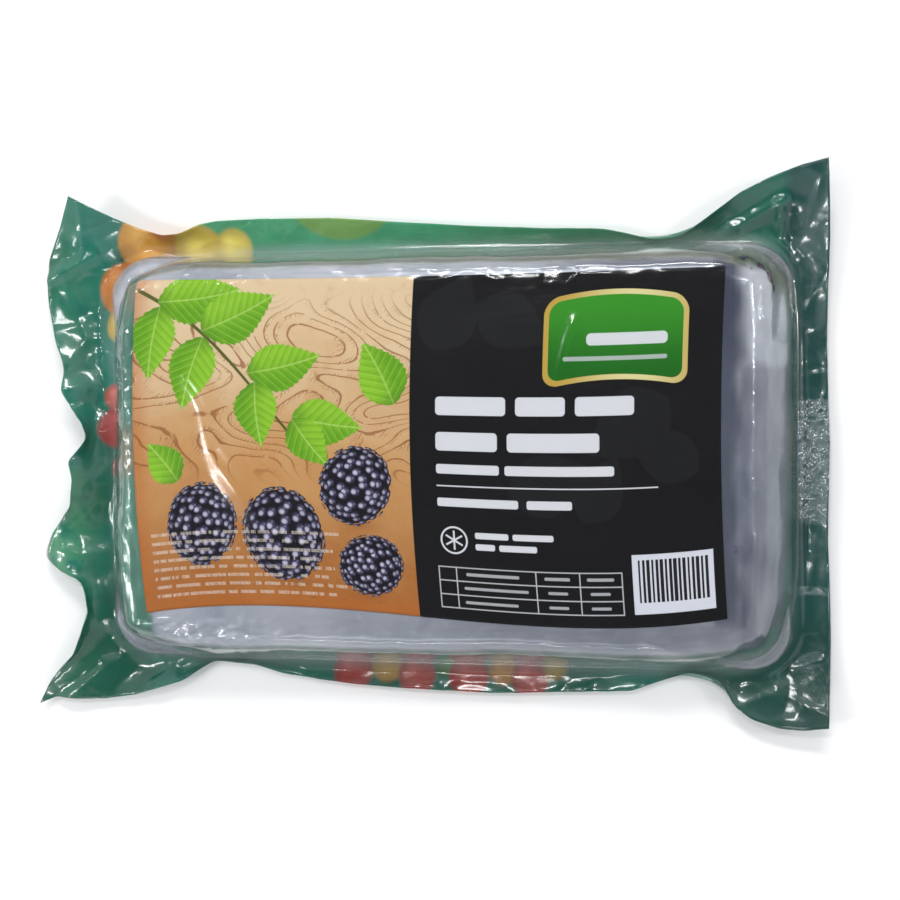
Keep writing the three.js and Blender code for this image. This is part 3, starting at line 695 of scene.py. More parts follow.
# ---- berries -------------------------------------------------------------------
def berry_variant(seed):
    """A closed berry of length, width and height 1, covered with rounded drupelets."""
    r = np.random.default_rng(seed)
    bm = bmesh.new()
    bmesh.ops.create_icosphere(bm, subdivisions=4, radius=1.0)
    v = np.array([q.co[:] for q in bm.verts])
    f = np.array([[q.index for q in p.verts] for p in bm.faces])
    bm.free()
    n = 62
    k = np.arange(n) + 0.5
    phi = np.arccos(1 - 2 * k / n)
    th = np.pi * (1 + 5 ** 0.5) * k + r.uniform(0, 6)
    c = np.c_[np.cos(phi), np.sin(phi) * np.cos(th), np.sin(phi) * np.sin(th)]
    c += r.normal(0, 0.045, c.shape)
    c /= np.linalg.norm(c, axis=1)[:, None]
    size = r.uniform(0.26, 0.31, n)
    d = v @ c.T
    ang = np.arccos(np.clip(d, -1, 1))
    h = np.sqrt(np.clip(1 - (ang / size[None, :]) ** 2, 0, 1))
    h = h.max(1)
    shape = np.ones(len(v)) * (0.86 + 0.14 * h)
    x = v[:, 0]
    taper = (1 - 0.07 * x) * (1 + 0.05 * (1 - x * x)) / 1.05
    p = v * shape[:, None]
    p[:, 1] *= taper
    p[:, 2] *= taper
    # the hollow where the stalk was
    p[:, 0] += 0.16 * np.exp(-((v[:, 1] ** 2 + v[:, 2] ** 2) / 0.09)) * (v[:, 0] < 0)
    return p / (p.max(0) - p.min(0)) , f, h


variants = [berry_variant(s) for s in (3, 5, 7, 11, 13, 17)]
berry_objects = []
for i, (x, y, heading, length, width, height) in enumerate(BERRIES):
    p, f, h = variants[i % len(variants)]
    p = p - (p.max(0) + p.min(0)) / 2
    a = math.radians(heading + (180 if i % 2 else 0))
    q = p * np.array([length - 0.3, width - 0.3, height - 0.9])
    q = np.c_[q[:, 0] * math.cos(a) - q[:, 1] * math.sin(a), q[:, 0] * math.sin(a) + q[:, 1] * math.cos(a), q[:, 2]]
    q += np.array([x, y, 1.35 + (height - 0.9) / 2])
    ob = mesh_object("drupelets_%02d" % (i + 1), q, f)
    attribute(ob, "bead", h)
    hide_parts("berry_%02d" % (i + 1))
    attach(ob, "root")
    berry_objects.append(ob)


# ----------------------------------------------------------------------------
# shader helpers: write node maths as ordinary expressions
# ----------------------------------------------------------------------------
class S:
    """A number in a node tree."""

    def __init__(self, nt, sock):
        self.nt, self.sock = nt, sock

    def _op(self, op, *others, clamp=False):
        n = self.nt.nodes.new("ShaderNodeMath")
        n.operation = op
        n.use_clamp = clamp
        for i, o in enumerate((self,) + others):
            if isinstance(o, S):
                self.nt.links.new(o.sock, n.inputs[i])
            else:
                n.inputs[i].default_value = float(o)
        return S(self.nt, n.outputs[0])

    def __add__(self, o): return self._op("ADD", o)
    __radd__ = __add__
    def __sub__(self, o): return self._op("SUBTRACT", o)
    def __rsub__(self, o): return (self * -1.0) + o
    def __mul__(self, o): return self._op("MULTIPLY", o)
    __rmul__ = __mul__
    def __truediv__(self, o): return self._op("DIVIDE", o)
    def __neg__(self): return self * -1.0
    def abs(self): return self._op("ABSOLUTE")
    def sqrt(self): return self._op("SQRT")
    def sin(self): return self._op("SINE")
    def cos(self): return self._op("COSINE")
    def asin(self): return self._op("ARCSINE")
    def frac(self): return self._op("FRACT")
    def floor(self): return self._op("FLOOR")
    def pow(self, e): return self._op("POWER", e)
    def min(self, o): return self._op("MINIMUM", o)
    def max(self, o): return self._op("MAXIMUM", o)
    def clamp(self): return self._op("ADD", 0.0, clamp=True)
    def below(self, o): return self._op("LESS_THAN", o)
    def above(self, o): return self._op("GREATER_THAN", o)

    def step(self, e0, e1):
        """0 at e0, 1 at e1, smooth between."""
        n = self.nt.nodes.new("ShaderNodeMapRange")
        n.interpolation_type = "SMOOTHSTEP"
        self.nt.links.new(self.sock, n.inputs["Value"])
        if e0 <= e1:
            n.inputs["From Min"].default_value, n.inputs["From Max"].default_value = e0, e1
            n.inputs["To Min"].default_value, n.inputs["To Max"].default_value = 0.0, 1.0
        else:
            n.inputs["From Min"].default_value, n.inputs["From Max"].default_value = e1, e0
            n.inputs["To Min"].default_value, n.inputs["To Max"].default_value = 1.0, 0.0
        return S(self.nt, n.outputs[0])


def rgb(r, g, b):
    """sRGB bytes to linear."""
    def lin(c):
        c /= 255.0
        return c / 12.92 if c <= 0.04045 else ((c + 0.055) / 1.055) ** 2.4
    return (lin(r), lin(g), lin(b), 1.0)


class Mat:
    def __init__(self, name):
        self.mat = bpy.data.materials.new(name)
        self.mat.use_nodes = True
        self.nt = self.mat.node_tree
        self.nt.nodes.clear()
        self.out = self.nt.nodes.new("ShaderNodeOutputMaterial")

    def node(self, kind, **props):
        n = self.nt.nodes.new(kind)
        for k, v in props.items():
            setattr(n, k, v)
        return n

    def link(self, a, b):
        self.nt.links.new(a.sock if isinstance(a, S) else a, b)

    def put(self, socket, value):
        if isinstance(value, S):
            self.nt.links.new(value.sock, socket)
        elif hasattr(value, "is_output") or hasattr(value, "links"):
            self.nt.links.new(value, socket)
        else:
            socket.default_value = value

    def uv(self, sx, sy):
        n = self.node("ShaderNodeUVMap")
        n.uv_map = "UVMap"
        sep = self.node("ShaderNodeSeparateXYZ")
        self.link(n.outputs[0], sep.inputs[0])
        return S(self.nt, sep.outputs[0]) * sx, S(self.nt, sep.outputs[1]) * sy

    def place(self):
        n = self.node("ShaderNodeTexCoord")
        return n.outputs["Object"]

    def vec(self, x, y, z=0.0):
        n = self.node("ShaderNodeCombineXYZ")
        for i, q in enumerate((x, y, z)):
            self.put(n.inputs[i], q)
        return n.outputs[0]

    def noise(self, vector, scale, detail=3.0, rough=0.5, distortion=0.0):
        n = self.node("ShaderNodeTexNoise")
        self.link(vector, n.inputs["Vector"])
        n.inputs["Scale"].default_value = scale
        n.inputs["Detail"].default_value = detail
        n.inputs["Roughness"].default_value = rough
        n.inputs["Distortion"].default_value = distortion
        return S(self.nt, n.outputs["Fac"])

    def attr(self, name):
        n = self.node("ShaderNodeAttribute")
        n.attribute_name = name
        return S(self.nt, n.outputs["Fac"])

    def mix(self, fac, a, b):
        """Colour a where fac is 0, b where it is 1."""
        n = self.node("ShaderNodeMix", data_type="RGBA", clamp_factor=True)
        self.put(n.inputs[0], fac)
        self.put(n.inputs[6], a)
        self.put(n.inputs[7], b)
        return n.outputs[2]

    def bump(self, height, strength, distance, normal=None):
        n = self.node("ShaderNodeBump")
        n.inputs["Strength"].default_value = strength
        n.inputs["Distance"].default_value = distance
        self.put(n.inputs["Height"], height)
        if normal is not None:
            self.link(normal, n.inputs["Normal"])
        return n.outputs[0]

    def principled(self, color, rough, normal=None, **consts):
        n = self.node("ShaderNodeBsdfPrincipled")
        self.put(n.inputs["Base Color"], color)
        self.put(n.inputs["Roughness"], rough)
        if normal is not None:
            self.link(normal, n.inputs["Normal"])
        for k, v in consts.items():
            n.inputs[k.replace("_", " ")].default_value = v
        return n.outputs[0]

    def finish(self, shader):
        self.link(shader, self.out.inputs["Surface"])
        return self.mat


def box_mask(x, y, cx, cy, w, h, r=0.0, soft=0.12):
    """1 inside a rounded rectangle, with a thin soft edge (mm)."""
    qx = ((x - cx).abs() - (w / 2 - r)).max(0.0)
    qy = ((y - cy).abs() - (h / 2 - r)).max(0.0)
    d = (qx * qx + qy * qy).sqrt() - r if r > 0 else ((x - cx).abs() - w / 2).max((y - cy).abs() - h / 2)
    return d.step(soft, -soft)


def disc_mask(x, y, cx, cy, r, soft=0.15, sx=1.0, sy=1.0):
    dx, dy = (x - cx) / sx, (y - cy) / sy
    return ((dx * dx + dy * dy).sqrt() - r).step(soft, -soft)


# ----------------------------------------------------------------------------
# label print
# ----------------------------------------------------------------------------
def label_material():
    m = Mat("label_print")
    x, y = m.uv(LW, LH)
    P = m.vec(x, y)
    SPLIT = 104.6
    n_big = m.noise(P, 0.035, 4.0, 0.55, 0.6)
    n_mid = m.noise(P, 0.13, 5.0, 0.6, 0.3)
    n_fine = m.noise(P, 0.9, 3.0, 0.6)
    # parchment: cream at the top, orange towards the bottom
    t = (y / LH + (n_big - 0.5) * 0.5).clamp()
    col = m.mix(t.step(0.0, 0.5), rgb(160, 98, 44), rgb(190, 143, 90))
    col = m.mix(t.step(0.4, 0.9), col, rgb(214, 189, 154))
    col = m.mix((n_mid.step(0.5, 0.75)) * 0.28, col, rgb(184, 124, 70))
    col = m.mix(n_fine.step(0.6, 0.8) * 0.25, col, rgb(226, 204, 174))
    edge_dark = (x.step(9.0, 0.0) * 0.5).max(y.step(9.0, 0.0) * 0.45)
    col = m.mix(edge_dark, col, rgb(176, 96, 34))
    # brown contour lines across the upper middle
    wob = m.noise(P, 0.055, 4.0, 0.6, 0.8)
    wob2 = m.noise(P, 0.2, 3.0, 0.6, 0.2)
    band = y.step(44.0, 56.0) * y.step(119.0, 104.0)
    land = m.noise(m.vec(x, y * 1.5), 0.021, 1.0, 0.45, 0.35)
    f = (land * 19.0 + wob2 * 0.22).frac()
    line = (f - 0.5).abs().step(0.095, 0.04)
    g = ((x * 0.8 - y * 0.55 + wob * 12.0) / 1.25).frac()
    shade = m.noise(P, 0.07, 2.0, 0.5)
    hatch = (g - 0.5).abs().step(0.22, 0.08) * shade.step(0.5, 0.55) * f.step(0.5, 0.56) * f.step(0.98, 0.7)
    broken = m.noise(P, 0.22, 2.0, 0.5).step(0.32, 0.40)
    etch = (line * broken).max(hatch * 0.7) * band
    col = m.mix(etch * 0.8, col, rgb(140, 86, 44))
    # a few short dashes near the foot
    f2 = ((y + wob * 22.0) / 4.6).frac()
    dash = (f2 - 0.5).abs().step(0.06, 0.02) * m.noise(m.vec(x * 0.22, y * 1.2), 1.0, 2.0).step(0.6, 0.66) * y.step(46.0, 40.0)
    col = m.mix(dash * 0.6, col, rgb(112, 62, 30))

    # stem: one curved line
    sy_ = 119.0 - x * 0.86 + (x * 0.06).sin() * 6.0
    stem = (y - sy_).abs().step(1.0, 0.6) * x.step(0.5, 1.5) * x.step(64.0, 61.0)
    col = m.mix(stem, col, rgb(84, 88, 38))

    # leaves: centre of the stalk end, heading, length, half width
    leaves = [
        (9.0, 114.0, 8.0, 33.0, 9.6), (10.0, 112.5, -98.0, 28.0, 8.8), (26.0, 103.0, 26.0, 31.0, 10.2),
        (27.0, 101.0, -106.0, 29.0, 9.2), (44.0, 87.0, 14.0, 29.0, 9.4), (47.0, 84.0, -84.0, 25.0, 8.6),
        (61.0, 71.0, -8.0, 27.0, 9.2), (61.0, 70.0, -52.0, 22.0, 7.8), (99.0, 76.0, 118.0, 26.0, 9.4),
        (17.0, 47.0, 128.0, 19.0, 7.4),
    ]
    la, lb, mask = None, None, None
    for cx, cy, ang, L, W in leaves:
        c, s = math.cos(math.radians(ang)), math.sin(math.radians(ang))
        dx, dy = x - cx, y - cy
        a = (dx * c + dy * s) / L
        b = (dy * c - dx * s) + (a * 3.1).sin() * (L * 0.03)
        ac = a.clamp()
        w = (ac.pow(0.72) * math.pi).sin() * W
        teeth = ((ac * (L / 2.1)).frac() - 0.5).abs() * 1.5
        k = (w - b.abs() - teeth).step(-0.1, 0.25) * a.above(0.005) * a.below(0.995)
        if mask is None:
            la, lb, mask = a * L, b, k
            lw = k * 0.0 + W
        else:
            keep = k.above(0.5)
            la = la * (1.0 - keep) + a * L * keep
            lb = lb * (1.0 - keep) + b * keep
            mask = mask.max(k)
    vf = ((la - lb.abs() * 0.75) / 3.1).frac()
    vein = (vf - 0.5).abs().step(0.10, 0.02)
    rib = lb.abs().step(0.42, 0.2)
    tone = m.noise(P, 0.3, 2.0)
    green = m.mix((lb.step(-6.0, 6.0) * 0.7 + tone * 0.4).clamp(), rgb(84, 146, 16), rgb(138, 190, 46))
    green = m.mix(vf.step(0.5, 1.0) * 0.3, green, rgb(72, 128, 20))
    green = m.mix(vein * 0.3, green, rgb(176, 208, 96))
    green = m.mix(rib * 0.5, green, rgb(184, 212, 112))
    green = m.mix(la.step(7.0, 0.0) * 0.45, green, rgb(50, 98, 20))
    col = m.mix(mask, col, green)

    # berries: centre, half length, half width, heading
    fruits = [
        (25.0, 31.0, 15.8, 13.6, 78.0), (84.0, 46.0, 15.4, 13.4, 64.0),
        (56.0, 27.0, 18.0, 15.6, 104.0), (88.0, 17.0, 12.6, 11.2, 24.0),
    ]
    qx = qy = off = fm = None
    for i, (cx, cy, rl, rw, ang) in enumerate(fruits):
        c, s = math.cos(math.radians(ang)), math.sin(math.radians(ang))
        dx, dy = x - cx, y - cy
        a = (dx * c + dy * s) / rl
        b = (dy * c - dx * s) / rw
        r2 = a * a + b * b
        k = r2.below(1.0)
        if qx is None:
            qx, qy, off, fm = a * k, b * k, k * (7.0 * (i + 1)), k
        else:
            inv = 1.0 - k
            qx = qx * inv + a * k
            qy = qy * inv + b * k
            off = off * inv + k * (7.0 * (i + 1))
            fm = fm.max(k)
    r = (qx * qx + qy * qy).sqrt().min(0.995)
    bulge = r.max(0.02).asin() / r.max(0.02)
    vx, vy = qx * bulge * 4.1 + off, qy * bulge * 3.6 + off * 1.7
    vo = m.node("ShaderNodeTexVoronoi", voronoi_dimensions="2D", feature="F1")
    m.link(m.vec(vx, vy), vo.inputs["Vector"])
    vo.inputs["Scale"].default_value = 1.0
    vo.inputs["Randomness"].default_value = 0.62
    dist = S(m.nt, vo.outputs["Distance"])
    sep = m.node("ShaderNodeSeparateXYZ")
    m.link(vo.outputs["Position"], sep.inputs[0])
    hx, hy = vx - S(m.nt, sep.outputs[0]), vy - S(m.nt, sep.outputs[1])
    glint = ((hx + 0.13) * (hx + 0.13) + (hy - 0.15) * (hy - 0.15)).sqrt().step(0.36, 0.1)
    spark = ((hx - 0.16) * (hx - 0.16) + (hy + 0.2) * (hy + 0.2)).sqrt().step(0.16, 0.05)
    bead = dist.step(0.6, 0.2)
    vary = m.noise(m.vec(vx.floor(), vy.floor()), 3.7, 0.0, 0.5)
    skin = m.mix(bead, rgb(10, 8, 17), rgb(62, 56, 84))
    skin = m.mix(glint * (vary * 0.5 + 0.5), skin, rgb(202, 200, 222))
    skin = m.mix(spark * 0.35, skin, rgb(150, 150, 182))
    limb = r.step(0.5, 1.0)
    skin = m.mix(limb * 0.5, skin, rgb(20, 16, 32))
    # scalloped outline: drop the skin between the outermost beads
    sx_, sy2 = (S(m.nt, sep.outputs[0]) - off) / 4.1, (S(m.nt, sep.outputs[1]) - off * 1.7) / 3.6
    rc = (sx_ * sx_ + sy2 * sy2).sqrt()
    keep = fm * (r.step(0.93, 0.915)).max(rc.step(1.44, 1.40) * dist.step(0.56, 0.48))
    shadow = None
    for cx, cy, wdt in ((25.0, 15.5, 15.0), (57.0, 9.8, 18.0), (87.0, 5.6, 14.0), (86.0, 31.5, 13.0)):
        k = disc_mask(x, y, cx, cy, 0.0, 1.0, wdt, 3.4)
        shadow = k if shadow is None else shadow.max(k)
    col = m.mix(shadow * 0.5, col, rgb(98, 54, 26))
    col = m.mix(keep, col, skin)

    # pale fine lines in place of small print, lower left
    def rows(x, y, y0, y1, pitch, thick, x0, x1, seed):
        k = ((y - y0) / pitch)
        row = k.floor()
        inrow = ((k.frac() - 0.5).abs() * pitch).step(thick / 2 + 0.12, thick / 2 - 0.1)
        word = m.noise(m.vec(x * 0.42, row * 7.3 + seed), 1.0, 1.0, 0.5).step(0.42, 0.46)
        word = word * (m.noise(m.vec(x * 1.7, y * 0.9 + row * 3.1), 1.0, 2.0, 0.6).step(0.36, 0.56) * 0.65 + 0.35)
        long_ = m.noise(m.vec(row * 3.7 + seed, 0.0), 1.0, 0.0, 0.5)
        end = (x - (x0 + (x1 - x0) * 0.5) - long_ * (x1 - x0) * 0.75).below(0.0)
        return inrow * word * end * y.above(y0) * y.below(y1) * x.above(x0) * x.below(x1)

    fine = rows(x, y, 3.6, 30.0, 3.2, 1.15, 5.0, 84.0, 2.0)
    col = m.mix(fine * 0.5, col, rgb(222, 210, 196))

    # black half with faint leaf shadows
    dark = x.step(SPLIT - 0.12, SPLIT + 0.12)
    black = m.mix(m.noise(P, 0.05, 3.0, 0.5, 0.4).step(0.35, 0.7) * 0.5, rgb(4, 4, 6), rgb(10, 10, 13))
    shades = [(112.0, 96.0, 64.0, 30.0, 11.0), (128.0, 112.0, -28.0, 30.0, 10.0), (196.0, 78.0, 214.0, 34.0, 12.0),
              (140.0, 44.0, 20.0, 32.0, 11.0), (166.0, 36.0, 62.0, 26.0, 9.0), (206.0, 52.0, 150.0, 28.0, 9.0)]
    sh_m = None
    for cx, cy, ang, L, W in shades:
        c, s = math.cos(math.radians(ang)), math.sin(math.radians(ang))
        dx, dy = x - cx, y - cy
        a = (dx * c + dy * s) / L
        b = (dy * c - dx * s)
        ac = a.clamp()
        k = ((ac.pow(0.75) * math.pi).sin() * W - b.abs()).step(-0.2, 0.4)
        sh_m = k if sh_m is None else sh_m.max(k)
    black = m.mix(sh_m * 0.6, black, rgb(24, 25, 27))
    col = m.mix(dark, col, black)

    # plaque: green field, pale gold edge
    px_, py_ = 177.0, 101.0
    arch = ((x - px_) * (x - px_)) * 0.0052
    gold = box_mask(x, y + arch, px_, py_ - 0.4, 50.0, 31.0, 5.5)
    field = box_mask(x, y + arch, px_, py_ - 0.4, 46.4, 27.4, 4.2)
    goldc = m.mix((x / 9.0).sin() * 0.5 + 0.5, rgb(184, 152, 66), rgb(214, 204, 146))
    col = m.mix(gold, col, goldc)
    greenc = m.mix(y.step(86.0, 114.0), rgb(18, 98, 16), rgb(50, 138, 30))
    col = m.mix(field, col, greenc)
    white = rgb(212, 213, 219)
    # the plaque is left bare but for two plain bars
    col = m.mix(box_mask(x, y, px_ + 4.0, 99.0, 28.0, 4.2, 1.6) * 0.92, col, white)
    col = m.mix(box_mask(x, y, px_, 92.4, 36.0, 1.5, 0.7) * 0.55, col, white)

    def bars(y_, h, spans, r):
        out = None
        for a, b in spans:
            k = box_mask(x, y, (a + b) / 2, y_, b - a, h, r)
            out = k if out is None else out.max(k)
        return out

    big = bars(76.0, 6.6, [(114, 139), (142.5, 160), (163.5, 184)], 1.4)
    big = big.max(bars(63.4, 6.6, [(114, 136), (139.5, 172)], 1.4))
    big = big.max(bars(53.6, 3.4, [(114, 136.5), (138.5, 177)], 0.9))
    big = big.max(bars(47.6, 0.45, [(114, 192)], 0.0))
    big = big.max(bars(41.8, 3.0, [(114, 143), (146, 162)], 0.8))
    big = big.max(bars(30.4, 2.2, [(127, 139), (140.5, 155)], 0.7))
    big = big.max(bars(26.4, 2.2, [(127, 134), (135.5, 149)], 0.7))
    col = m.mix(big * 0.95, col, white)
    # frost mark: a six-armed star in a ring
    fxx, fyy = x - 119.4, y - 28.4
    rr = (fxx * fxx + fyy * fyy).sqrt()
    star = (rr - 4.6).abs().step(0.42, 0.22)
    for k in range(3):
        a = math.radians(60 * k + 30)
        arm = (fxx * math.sin(a) - fyy * math.cos(a)).abs().step(0.42, 0.22) * rr.step(3.5, 3.3)
        star = star.max(arm)
    col = m.mix(star * 0.95, col, white)
    # empty ruled table
    tx0, tx1, ty0, ty1 = 113.0, 178.5, 4.2, 19.0
    frame_ = box_mask(x, y, (tx0 + tx1) / 2, (ty0 + ty1) / 2, tx1 - tx0, ty1 - ty0) \
        * (1.0 - box_mask(x, y, (tx0 + tx1) / 2, (ty0 + ty1) / 2, tx1 - tx0 - 0.8, ty1 - ty0 - 0.8))
    inside_ = box_mask(x, y, (tx0 + tx1) / 2, (ty0 + ty1) / 2, tx1 - tx0, ty1 - ty0)
    rule = None
    for yy in (9.1, 14.0):
        k = (y - yy).abs().step(0.3, 0.12)
        rule = k if rule is None else rule.max(k)
    for xx in (119.5, 148.0, 163.5):
        rule = rule.max((x - xx).abs().step(0.3, 0.12))
    cells = bars(16.5, 1.1, [(123, 142), (151, 160), (166, 175.5)], 0.4).max(
        bars(11.6, 1.0, [(122, 145), (152, 159), (167, 174)], 0.4)).max(bars(6.6, 1.0, [(122, 141), (152, 159), (167, 174)], 0.4))
    col = m.mix(frame_.max(rule * inside_).max(cells * 0.8) * 0.9, col, rgb(190, 191, 196))
    # pale patch with evenly spaced stripes
    patch = box_mask(x, y, 196.0, 14.6, 28.0, 20.4)
    col = m.mix(patch, col, rgb(206, 208, 218))
    k = ((x - 183.6) / 1.55)
    wide = ((k.floor() * 0.37).frac()) * 0.22 + 0.2
    stripe = ((k.frac() - 0.5).abs() - wide).step(0.05, -0.05)
    stripes = stripe * box_mask(x, y, 196.0, 15.6, 24.8, 14.6)
    col = m.mix(stripes, col, rgb(22, 22, 26))

    fibre = m.noise(P, 2.2, 4.0, 0.6)
    soft = m.noise(P, 0.12, 2.0, 0.5)
    nrm = m.bump(fibre * 0.3 + soft, 0.25, 0.00025)
    rough = fibre * 0.14 + 0.46
    return m.finish(m.principled(col, rough, nrm, Specular_IOR_Level=0.07))


# ----------------------------------------------------------------------------
# printed back web
# ----------------------------------------------------------------------------
def web_material():
    m = Mat("printed_web")
    u, v = m.uv(310.0, 310.0)
    x, y = u - 155.0, v - 105.0
    P = m.vec(x, y)
    n1 = m.noise(P, 0.016, 2.0, 0.5, 0.4)
    n2 = m.noise(P, 0.12, 4.0, 0.55)
    col = m.mix(n1.step(0.35, 0.65), rgb(8, 84, 66), rgb(20, 112, 96))
    pale = x.step(-118.0, -140.0) * n2.step(0.3, 0.55)
    col = m.mix(pale * (y.step(12.0, -24.0) * 0.45 + 0.25), col, rgb(82, 150, 106))
    col = m.mix(y.step(66.0, 84.0) * x.step(-96.0, -80.0) * x.step(110.0, 84.0) * 0.8, col, rgb(68, 172, 118))
    col = m.mix(n2.step(0.4, 0.7) * 0.2, col, rgb(6, 82, 60))
    col = m.mix(x.step(96.0, 128.0) * y.step(10.0, 60.0) * 0.5, col, rgb(8, 82, 62))
    col = m.mix(x.step(131.0, 137.0) * 0.85, col, rgb(6, 62, 60))
    col = m.mix(x.step(104.0, 124.0) * y.step(-54.0, -70.0) * 0.8, col, rgb(8, 58, 50))
    col = m.mix(x.step(-92.0, -112.0) * y.step(-62.0, -78.0) * 0.7, col, rgb(6, 78, 60))
    # loose scatter of plain round fruit shapes in the print
    discs = [
        (-27.0, 106.0, 27.0, 128, 186, 92), (62.0, 121.0, 40.0, 64, 158, 98),
        (-104.0, 77.0, 12.5, 222, 158, 50), (-84.0, 75.5, 9.5, 228, 196, 66), (-115.0, 62.0, 10.5, 214, 128, 44),
        (-71.0, 77.0, 7.0, 236, 212, 90), (-96.0, 86.0, 6.5, 206, 114, 50), (-116.0, 47.0, 6.0, 206, 174, 60),
        (-116.0, 8.0, 8.5, 190, 60, 58), (-113.0, -8.0, 7.0, 178, 44, 52), (-118.0, 20.0, 5.0, 198, 96, 84),
        (-106.0, -62.0, 12.0, 110, 128, 56), (-112.0, -44.0, 6.5, 88, 126, 62),
        (-24.0, -84.0, 7.5, 158, 44, 34), (-11.0, -82.0, 6.0, 168, 128, 44), (0.5, -85.0, 7.0, 160, 50, 36),
        (12.0, -81.0, 4.5, 66, 112, 44), (20.0, -85.0, 7.5, 160, 46, 34), (33.0, -82.5, 5.5, 170, 116, 42),
        (43.0, -85.0, 7.0, 156, 46, 34), (52.0, -81.0, 4.5, 160, 130, 50),
        (-40.0, 10.0, 34.0, 208, 84, 46), (10.0, -28.0, 28.0, 226, 172, 60), (62.0, 16.0, 32.0, 120, 172, 70),
        (96.0, -30.0, 20.0, 202, 60, 50), (-78.0, -34.0, 22.0, 120, 160, 66), (0.0, 44.0, 20.0, 222, 132, 52),
    ]
    for cx, cy, r, a, b, c in discs:
        dx, dy = x - cx, y - cy
        d = (dx * dx + dy * dy).sqrt()
        body = m.mix((d / r).step(0.2, 1.0) * 0.55, rgb(a, b, c), rgb(a * 0.72, b * 0.66, c * 0.6))
        lit = (((dx + r * 0.3) * (dx + r * 0.3) + (dy - r * 0.35) * (dy - r * 0.35)).sqrt()).step(r * 0.5, r * 0.05)
        body = m.mix(n2.step(0.42, 0.66) * 0.35, body, rgb(a * 0.8, b * 0.86, c * 0.8))
        body = m.mix(lit * 0.2, body, rgb(min(255, a + 60), min(255, b + 60), min(255, c + 60)))
        col = m.mix((d - r).step(1.1, -1.1) * (0.94 if r < 13 else 1.0), col, body)
    micro = m.noise(m.place(), 900.0, 3.0, 0.6)
    nrm = m.bump(micro, 0.12, 0.0002)
    rough = n2 * 0.16 + 0.26
    return m.finish(m.principled(col, rough, nrm, Specular_IOR_Level=0.2))


# ----------------------------------------------------------------------------
# clear front web: thin gloss over what is under it, with a little haze and a painted sheen over the shoulders
# ----------------------------------------------------------------------------
def clear_material():
    m = Mat("clear_web")
    u, v = m.uv(310.0, 310.0)
    x, y = u - 155.0, v - 105.0
    P = m.vec(x, y)
    micro = m.noise(P, 0.7, 4.0, 0.6)
    scuff = m.noise(m.vec(x * 0.05, y * 0.6), 1.0, 4.0, 0.6)
    cloud = m.noise(P, 0.045, 4.0, 0.6, 0.4)
    # knurled patches of the sealing jaws, in the straight seal on the right
    kn = (x * 2.9 + y * 2.9).sin() * (x * 2.9 - y * 2.9).sin()
    runs = (y - 4.0).step(14.0, 12.0) * (y + 26.0).step(-2.0, 2.0)
    spots = (y + 51.0).abs().step(2.0, 0.5).max((y - 1.0).abs().step(1.2, 0.2) * 0.0)
    spots = spots.max((y + 81.5).abs().step(8.5, 7.0) * 0.12).max((y - 62.0).abs().step(24.0, 21.0) * 0.06)
    patch = x.step(138.0, 140.0) * runs.max(spots) * m.noise(m.vec(x * 0.5, y * 0.5), 1.0, 2.0, 0.5).step(0.3, 0.55)
    nrm = m.bump(micro * 0.2 + kn * patch * 0.55, 0.5, 0.0003)
    lw = m.node("ShaderNodeLayerWeight")
    lw.inputs["Blend"].default_value = 0.5
    fres = S(m.nt, lw.outputs["Facing"]).pow(5.0) * 0.9 + 0.032
    clear = m.node("ShaderNodeBsdfTransparent")
    clear.inputs[0].default_value = (0.995, 0.998, 0.997, 1)
    gloss = m.node("ShaderNodeBsdfAnisotropic")
    gloss.inputs["Color"].default_value = (1, 1, 1, 1)
    m.put(gloss.inputs["Roughness"], scuff * 0.14 + 0.06)
    m.link(nrm, gloss.inputs["Normal"])
    haze_sheen = m.node("ShaderNodeBsdfDiffuse")
    haze_sheen.inputs["Color"].default_value = (0.80, 0.86, 0.87, 1)
    # veil over the shoulders: partly the film's own haze, partly painted sheen
    slope_haze_sheen = m.attr("haze_sheen")
    # white flecks over the knurled seal: painted glints where the embossed dots would catch the light
    seal_glints = m.noise(P, 1.9, 1.0, 0.5).step(0.56, 0.66) * m.noise(P, 0.3, 2.0).step(0.40, 0.58)
    amount = (slope_haze_sheen * (cloud * 0.5 + 0.75) + patch * (seal_glints * 0.75 + 0.05) + 0.001).clamp()
    mx1 = m.node("ShaderNodeMixShader")
    m.put(mx1.inputs[0], amount)
    m.link(clear.outputs[0], mx1.inputs[1])
    m.link(haze_sheen.outputs[0], mx1.inputs[2])
    mx2 = m.node("ShaderNodeMixShader")
    m.link(fres.clamp(), mx2.inputs[0])
    m.link(mx1.outputs[0], mx2.inputs[1])
    m.link(gloss.outputs[0], mx2.inputs[2])
    return m.finish(mx2.outputs[0])


